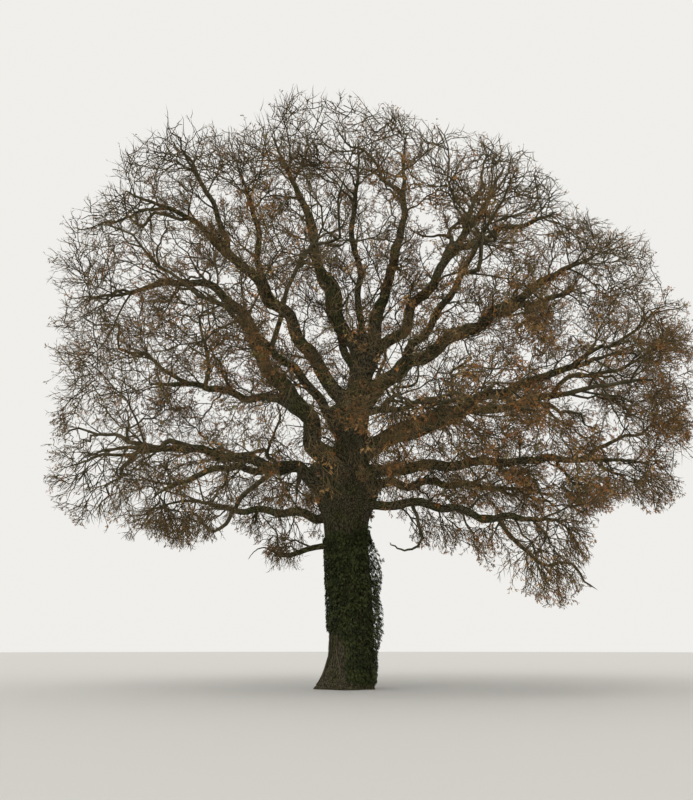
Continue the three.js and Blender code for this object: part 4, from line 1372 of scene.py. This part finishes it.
def twig_shapes(levels, side):
    """The shapes of the twigs of some levels on one side of the crown."""
    shapes = []
    for level in levels:
        for bundle in grown[level]:
            chosen = MASS_SIDES[bundle["mass"]] == side
            if chosen.any():
                shapes.append(twig_mesh(part_of(bundle, chosen), TWIG_SIDES[level]))
    return shapes


for side in CROWN_SIDES:
    nodes = ["twigs_" + mass["bough"]["name"] for mass in masses]
    nodes = [node for node, where in zip(nodes, MASS_SIDES) if where == side]
    thick_shapes = twig_shapes(BRANCH_LEVELS, side)
    for piece in limited_pieces("branches_" + side, thick_shapes, BRANCH_WOOD):
        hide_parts(*nodes)
    limited_pieces("fine_twigs_" + side, twig_shapes(FINE_LEVELS, side), TWIG_WOOD)

# Dead branches
# A few bare ends that have lost their twigs: hooks that droop under the crown and turn up again,
# and two thin ends on the stub on the left. Each tapers from its limb to a point.
# Line is the places that it passes after its foot, and radius is at that foot.
DEAD_BRANCHES = (
    dict(
        on="left_front",
        at=0.12,
        radius=0.1,
        line=(
            (-4.0, -1.5, 6.6),
            (-4.5, -1.4, 5.75),
            (-5.1, -1.4, 5.55),
            (-5.6, -1.4, 6.05),
            (-6.2, -1.5, 6.35),
        ),
    ),
    dict(
        on="right_low",
        at=0.38,
        radius=0.07,
        line=((2.4, -1.8, 5.5), (2.4, -1.8, 5.05), (1.95, -1.8, 4.8), (1.5, -1.8, 4.9), (1.3, -1.8, 5.05)),
    ),
    dict(
        on="left_stub",
        at=0.95,
        radius=0.04,
        line=((-2.95, -0.85, 4.88), (-3.25, -0.9, 4.95), (-3.55, -0.9, 4.8), (-3.75, -0.95, 4.5)),
    ),
    dict(
        on="left_stub",
        at=0.9,
        radius=0.05,
        line=((-2.7, -0.8, 5.1), (-2.75, -0.85, 5.5), (-3.1, -0.85, 5.9), (-3.4, -0.9, 6.3)),
    ),
)
DEAD_PARTS = 4
DEAD_CROOKEDNESS = 0.12

dead_shapes = []
for number, plan in enumerate(DEAD_BRANCHES):
    foot = bough_point(boughs[plan["on"]], plan["at"])
    rough = np.vstack([foot, plan["line"]])[None]
    seed = child_seed(TREE_SEED, 200 + number)[None]
    line = bent_lines(rough, seed, DEAD_PARTS, DEAD_CROOKEDNESS)
    dead_shapes.append(twig_mesh(dict(line=line, radius=np.array([plan["radius"]])), TWIG_SIDES[0]))
dead_branches = joined_piece("dead_branches", dead_shapes, BRANCH_WOOD)

# Leaves
# Dry oak leaves that have stayed on, in sprays at the ends of the twigs: lobed blades of a few
# faces, folded along the midrib and curled. Each spray has one tint of brown.
LEAF_TINTS = {
    "umber": ((0.13, 0.08, 0.036, 1), 0.27),
    "olive": ((0.17, 0.135, 0.045, 1), 0.15),
    "brown": ((0.23, 0.12, 0.045, 1), 0.28),
    "russet": ((0.32, 0.14, 0.042, 1), 0.18),
    "tan": ((0.4, 0.235, 0.09, 1), 0.12),
}
# A leaf is a row of lobes on each side of its midrib, in shares of its length: the rib's joints
# between them, and each lobe's tip, along and out. Fold is how far the lobes stand up from the rib,
# and curl how far its middle stands up from a line from base to tip.
OAK_LEAF = dict(
    rib=(0, 0.34, 0.67, 1),
    lobes=((0.27, 0.22), (0.58, 0.31), (0.84, 0.19)),
    fold=0.35,
    curl=0.18,
    length=(0.08, 0.13),
)
FOLD_LOOSE = 0.6
CURL_LOOSE = 0.8
LEAVES_ON_TWIG = 2
LEAF_SPAN = 0.35  # leaves sit on this last share of a twig
LEAF_LEAN = 55
LEAF_LEAN_LOOSE = 25
LEAF_HANG = 0.35  # how far down they then turn
LEAFY_BARE = 0.15  # the share of sprays with leaves where the crown is barest,
LEAFY_LUSH = 0.38  # how much more it is on the lush side
FULLER_LEAVES = 0.36  # and in the fuller places,
LEAFY_DRIFT = 0.6  # and how far it drifts from place to place,
LEAFY_DRIFT_SIZE = 1.3
LEAFY_SKIN = 0.1  # less this much at the crown's skin
LEAFY_LEAST = 0.05
LEAFY_MOST = 0.85
TINT_DARK = 1.6  # how far tints lean to the dark ones, and how much less so on the lush side
TINT_BRIGHTER = 0.8
LAST_TINT = 0.9999  # keeps the highest draws within the last tint


def leafiness(points):
    """How many of the sprays at these places still hold leaves, as a share."""
    share = LEAFY_BARE + LEAFY_LUSH * lush_side(points)
    share = share + LEAFY_DRIFT * slow_noise(points, LEAFY_DRIFT_SIZE)
    share += FULLER_LEAVES * near_places(points, FULLER_PLACES)
    return np.clip(share - LEAFY_SKIN * near_skin(points), LEAFY_LEAST, LEAFY_MOST)


def leaf_arrays(base, heading, across, seed, shape):
    """Vertices and triangles of one leaf at each base."""
    face = np.cross(heading, across)
    low, high = shape["length"]
    length = (low + (high - low) * draw(seed, 52))[:, None]
    fold = shape["fold"] * (1 + FOLD_LOOSE * sway(seed, 53))[:, None]
    curl = shape["curl"] * (1 + CURL_LOOSE * sway(seed, 54))[:, None]

    def at(along, out):
        """A point of every leaf, given along its midrib and out to one side."""
        lift = fold * abs(out) + curl * 4 * along * (1 - along)
        return base + length * (along * heading + out * across + lift * face)

    joints = len(shape["rib"])
    corners = [at(along, 0) for along in shape["rib"]]
    faces = []
    for k, (along, out) in enumerate(shape["lobes"]):
        corners += [at(along, out), at(along, -out)]
        faces += [(k, k + 1, joints + 2 * k), (k, joints + 2 * k + 1, k + 1)]
    vertices = np.stack(corners, axis=1)
    faces = np.array(faces)[None] + len(corners) * np.arange(len(base))[:, None, None]
    return vertices.reshape(-1, 3), faces.reshape(-1, 3)


def leaf_blade(name, colour, shine, crumple, smoothest):
    """A blade of one plain colour, duller and smoother over crumples of this size."""
    material, start, surface = finish_material(name, {"Base Color": colour, "Specular IOR Level": shine})
    (smoothest + 0.3 * start.place().noise(crumple, 2.0)).to(surface["Roughness"])
    return material


tint_names = list(LEAF_TINTS)
tint_ends = np.cumsum([share for _, share in LEAF_TINTS.values()])
leaf_lots = {name: [] for name in tint_names}
for level in FINE_LEVELS:
    for bundle in grown[level]:
        spray = bundle["seed"] if level == FINE_LEVELS[0] else bundle["spray"]
        tips = bundle["line"][:, -1]
        leafy = draw(spray, 31) < leafiness(bundle["start"])
        dark = TINT_DARK - TINT_BRIGHTER * lush_side(tips)
        tint = np.searchsorted(tint_ends, np.minimum(draw(spray, 33) ** dark, LAST_TINT))
        for number in range(LEAVES_ON_TWIG):
            seed = child_seed(bundle["seed"], 60 + number)
            base, along = along_line(bundle["line"], 1 - LEAF_SPAN * draw(seed, 55))
            tilt = np.radians(LEAF_LEAN + LEAF_LEAN_LOOSE * sway(seed, 57))
            heading = leaning(along, TURN * draw(seed, 56), tilt)
            heading[:, 2] -= LEAF_HANG
            heading = unit(heading)
            for index, name in enumerate(tint_names):
                chosen = leafy & (tint == index)
                if chosen.any():
                    across = turned(TURN * draw(seed[chosen], 51), *square_to(heading[chosen]))
                    lot = leaf_arrays(base[chosen], heading[chosen], across, seed[chosen], OAK_LEAF)
                    leaf_lots[name].append(lot)
for name, lots in leaf_lots.items():
    colour = LEAF_TINTS[name][0]
    material = leaf_blade("dry_leaf_" + name, colour, shine=0.15, crumple=0.02, smoothest=0.6)
    limited_pieces("leaves_" + name, lots, material)

# Ivy
# A dense sleeve of ivy on the bole: woody stems that creep up the bark, and dark green lobed
# leaves that stand off from them and hang over one another, with painted shade on those near the
# bark and painted light on those far out. A few climb on towards the fork.
IVY_LOW = 0.3
IVY_HIGH = 5.7
IVY_THICK = 0.2
IVY_FOOT = 0.3  # the share of that thickness that it has at its foot
IVY_FOOT_HEIGHT = 1.8  # it thickens round this height
IVY_THINNING = (0.35, 8, 5)  # how thick it starts, and how fast it thickens and then thins to its top
IVY_LEAN = 0.7  # it grows thicker by this share on the right, and thinner on the left
IVY_BARE_BEARING = 200  # the low stretch of bark that it leaves open
IVY_BARE_WIDTH = 50
IVY_BARE_HEIGHT = 1.9
IVY_BARE_DEPTH = 0.12
IVY_SOFT_EDGE = (0.7, 1.3)  # its edges are drawn out over these shares of their distance
IVY_SHARP_EDGE = (0.8, 1.2)
IVY_LUMPS = ((0.25, 3, 1.7), (0.18, 5, -2.3))  # size, how many round, twist
IVY_SEED = 31
IVY_LEAVES = 12500
IVY_SLEEVE = (IVY_LOW - 0.1, IVY_HIGH + 0.2)  # the heights of their bases
IVY_CLIMBERS = 2200
IVY_CLIMBING = (IVY_HIGH - 0.5, 9.5)
IVY_CLIMBER_THICK = 0.05
IVY_ROUGH = 0.45  # how far tufts stand off and hollows lie back
IVY_TUFT = 0.35
IVY_CLUSTERS = 0.25  # above the sleeve it only climbs on in tufts, most of them on the right
IVY_CLUSTER_SIDE = 0.5
IVY_CLUSTER_BEARING = 0.4  # in radians
IVY_CLUSTER_LOW = 0.4  # looser by this much where the climbers overlap the sleeve
IVY_OUTER = 0.6  # the lower this power, the more of the leaves stand far out
IVY_OFF_BARK = 0.02  # how far off the bark the leaves begin, and the least ivy that holds any
IVY_LOWEST = 0.1
IVY_LEAF_OUT = 0.5  # how far a leaf points out of the sleeve, to either side and down
IVY_LEAF_ASIDE = 0.8
IVY_LEAF_DOWN = 0.75
IVY_LEAF_LOOSE = 0.5
IVY_TUFT_PAINTED_LIGHT = 0.8  # painted light and shade: leaves are paler far out and darker near the bark, paler by this much on tufts, and by chance as a tone of their own
IVY_BRIGHT_LOOSE = 0.5
IVY_CREEPERS = 16
IVY_CREEPER_HEIGHT = (IVY_HIGH, 2.4)  # the least, and how much more some climb
IVY_CREEPER_FOOT = 0.02
IVY_CREEPER_POINTS = 60
IVY_CREEPER_PLACE = 0.6  # how loosely they are spaced round the foot
IVY_CREEPER_WAVES = ((0.25, 1.1, 3), (0.08, 4.3, 4))  # size, radians to a metre, channel of its start
IVY_STEM_RADIUS = 0.026
IVY_STEM_OFF = 0.01  # the stems' centres stand off the bark by this
IVY_STEM_SIDES = 8
IVY_LEAF = dict(
    rib=(0, 0.14, 0.42, 1),
    lobes=((-0.06, 0.3), (0.3, 0.55), (0.55, 0.27)),
    fold=0.15,
    curl=0.12,
    length=(0.085, 0.135),
)
# The darkest tint is painted shade for the leaves near the bark, the palest painted light for those far
# out and on tufts, mixed with some random tone.
IVY_TINTS = {
    "deep": (0.013, 0.02, 0.004, 1),
    "green": (0.028, 0.038, 0.008, 1),
    "pale": (0.056, 0.068, 0.016, 1),
}
IVY_SHADES = (0.35, 0.95)  # how bright a leaf is painted, with its painted light and shade, where one tint gives way to the next


def smooth_rise(value, low, high):
    """Rises smoothly from 0 at low to 1 at high."""
    share = np.clip((value - low) / (high - low), 0, 1)
    return share * share * (3 - 2 * share)


def ivy_thickness(height, angle):
    """How thick the ivy stands on the bark, below zero on the stretch that it leaves bare."""
    share = (height - IVY_LOW) / (IVY_HIGH - IVY_LOW)
    least, thickening, thinning = IVY_THINNING
    ends = np.minimum(np.minimum(1, thinning * (1 - share)), least + thickening * share)
    lumps = 1
    for size, count, twist in IVY_LUMPS:
        lumps = lumps + size * np.sin(count * angle + twist * height)
    turn = np.mod(angle - math.radians(IVY_BARE_BEARING) + math.pi, TURN)
    beside = np.abs(turn - math.pi) / math.radians(IVY_BARE_WIDTH)
    above = smooth_rise(height / IVY_BARE_HEIGHT, *IVY_SHARP_EDGE)
    cover = np.minimum(1, smooth_rise(beside, *IVY_SOFT_EDGE) + above)
    lean = 1 + IVY_LEAN * np.cos(angle)
    fullness = smooth_rise(height / IVY_FOOT_HEIGHT, *IVY_SOFT_EDGE)
    thick = IVY_THICK * (IVY_FOOT + (1 - IVY_FOOT) * fullness)
    return thick * ends * lumps * lean * cover - IVY_BARE_DEPTH * (1 - cover)


def ivy_leaves():
    """Bases, headings, directions across and seeds of the leaves, and how bright each one is: painted
    light far out and on tufts, painted shade near the bark, and some random tone.
    """
    seed = row_of_seeds(IVY_SEED, 0, IVY_LEAVES + IVY_CLIMBERS)
    climbing = np.arange(len(seed)) >= IVY_LEAVES
    spread = np.where(climbing, draw(seed, 1) ** 2, draw(seed, 1))
    low, high = (np.where(climbing, far, near) for far, near in zip(IVY_CLIMBING, IVY_SLEEVE))
    height = low + (high - low) * spread
    angle = TURN * draw(seed, 2)
    outward = level_way(angle)
    bark = trunk_radius(height, angle)
    tuft = slow_noise(outward + height[:, None] * np.array((0, 0, 1)), IVY_TUFT)
    thick = np.where(climbing, IVY_CLIMBER_THICK, ivy_thickness(height, angle))
    thick = thick * (1 + IVY_ROUGH * tuft)
    depth = draw(seed, 3) ** IVY_OUTER
    base = trunk_point(height) + (bark + IVY_OFF_BARK + depth * thick)[:, None] * outward
    aside = np.stack([-outward[:, 1], outward[:, 0], 0 * angle], -1)
    heading = IVY_LEAF_OUT * outward + IVY_LEAF_ASIDE * sway(seed, 4)[:, None] * aside
    heading[:, 2] -= IVY_LEAF_DOWN + IVY_LEAF_LOOSE * sway(seed, 5)
    heading = unit(heading)
    across = unit(np.cross(unit(outward + IVY_LEAF_LOOSE * sways(seed, 6)), heading))
    sparse = IVY_CLUSTERS - IVY_CLUSTER_SIDE * np.cos(angle - IVY_CLUSTER_BEARING)
    clustered = ~climbing | (tuft > sparse - IVY_CLUSTER_LOW * (height < IVY_HIGH))
    kept = (thick > IVY_OFF_BARK) & (height > IVY_LOWEST) & clustered
    # painted light and shade: leaves far off the bark and on tufts get the paler tints, those near it the
    # darker ones; the last term is random tone
    bright = depth + IVY_TUFT_PAINTED_LIGHT * tuft + IVY_BRIGHT_LOOSE * sway(seed, 9)
    return base[kept], heading[kept], across[kept], seed[kept], bright[kept]


base, heading, across, seed, bright = ivy_leaves()
# each leaf's tint, chosen by its painted light and shade
shade = np.searchsorted(IVY_SHADES, bright, side="right")
for index, (name, colour) in enumerate(IVY_TINTS.items()):
    chosen = shade == index
    lot = leaf_arrays(base[chosen], heading[chosen], across[chosen], seed[chosen], IVY_LEAF)
    green = leaf_blade("ivy_leaf_" + name, colour, shine=0.2, crumple=0.05, smoothest=0.35)
    piece = joined_piece("ivy_leaves_" + name, [lot], green)
    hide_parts("ivy")

seed = row_of_seeds(IVY_SEED, 2, IVY_CREEPERS)
least, more = IVY_CREEPER_HEIGHT
climb = np.linspace(IVY_CREEPER_FOOT, 1, IVY_CREEPER_POINTS)
heights = (least + more * draw(seed, 1))[:, None] * climb
places = np.arange(IVY_CREEPERS) + IVY_CREEPER_PLACE * draw(seed, 2)
angles = (TURN * places / IVY_CREEPERS)[:, None]
for size, rate, channel in IVY_CREEPER_WAVES:
    angles = angles + size * np.sin(rate * heights + TURN * draw(seed, channel)[:, None])
radii = trunk_radius(heights, angles) + IVY_STEM_OFF
line = trunk_point(heights) + radii[..., None] * level_way(angles)
creepers = dict(line=line, radius=np.full(IVY_CREEPERS, IVY_STEM_RADIUS))
ivy_wood = young_wood("ivy_wood", (0.11, 0.09, 0.06, 1), (0.055, 0.045, 0.03, 1))
piece = joined_piece("ivy_stems", [twig_mesh(creepers, IVY_STEM_SIDES)], ivy_wood)
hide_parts("ivy")

# Stage
# A plain pale floor and soft light from an even sky, with the camera where the photo was taken:
# at eye height, 38 m from the tree, and looking up.
CAMERA_PITCH = 13.4
CAMERA_LENS = 45.9
CAMERA_FAR = 500
FLOOR_SIDES = 96
FLOOR_RADIUS = 160
FLOOR_HEIGHT = -0.004  # a little below the cut of the trunk
FLOOR_GREY = (0.62, 0.61, 0.58, 1)
SKY = (0.87, 0.86, 0.83, 1)
SUN_STRENGTH = 0.8
SUN_WIDTH = 50
SUN_TILT = (40, -20, 0)

camera_data = bpy.data.cameras.new("camera")
camera_data.lens = CAMERA_LENS
camera_data.clip_end = CAMERA_FAR
camera = bpy.data.objects.new("camera", camera_data)
camera.location = VIEWER
camera.rotation_euler = (math.pi / 2 + math.radians(CAMERA_PITCH), 0, 0)
bpy.context.scene.collection.objects.link(camera)
bpy.context.scene.camera = camera

bpy.ops.object.select_all(action="DESELECT")
bpy.ops.mesh.primitive_circle_add(
    vertices=FLOOR_SIDES, radius=FLOOR_RADIUS, fill_type="NGON", location=(0, 0, FLOOR_HEIGHT)
)
floor = bpy.context.object
floor.name = "floor"
floor_paint, _, _ = finish_material("floor_paint", {"Base Color": FLOOR_GREY, "Roughness": 0.9})
floor.data.materials.append(floor_paint)

world = bpy.data.worlds.new("even_sky")
world.use_nodes = True
background = world.node_tree.nodes["Background"]
background.inputs["Color"].default_value = SKY
background.inputs["Strength"].default_value = 1.0
bpy.context.scene.world = world
sun_data = bpy.data.lights.new("soft_sun", "SUN")
sun_data.energy = SUN_STRENGTH
sun_data.angle = math.radians(SUN_WIDTH)
sun = bpy.data.objects.new("soft_sun", sun_data)
sun.rotation_euler = [math.radians(tilt) for tilt in SUN_TILT]
bpy.context.scene.collection.objects.link(sun)
bpy.context.scene.view_settings.view_transform = "Standard"
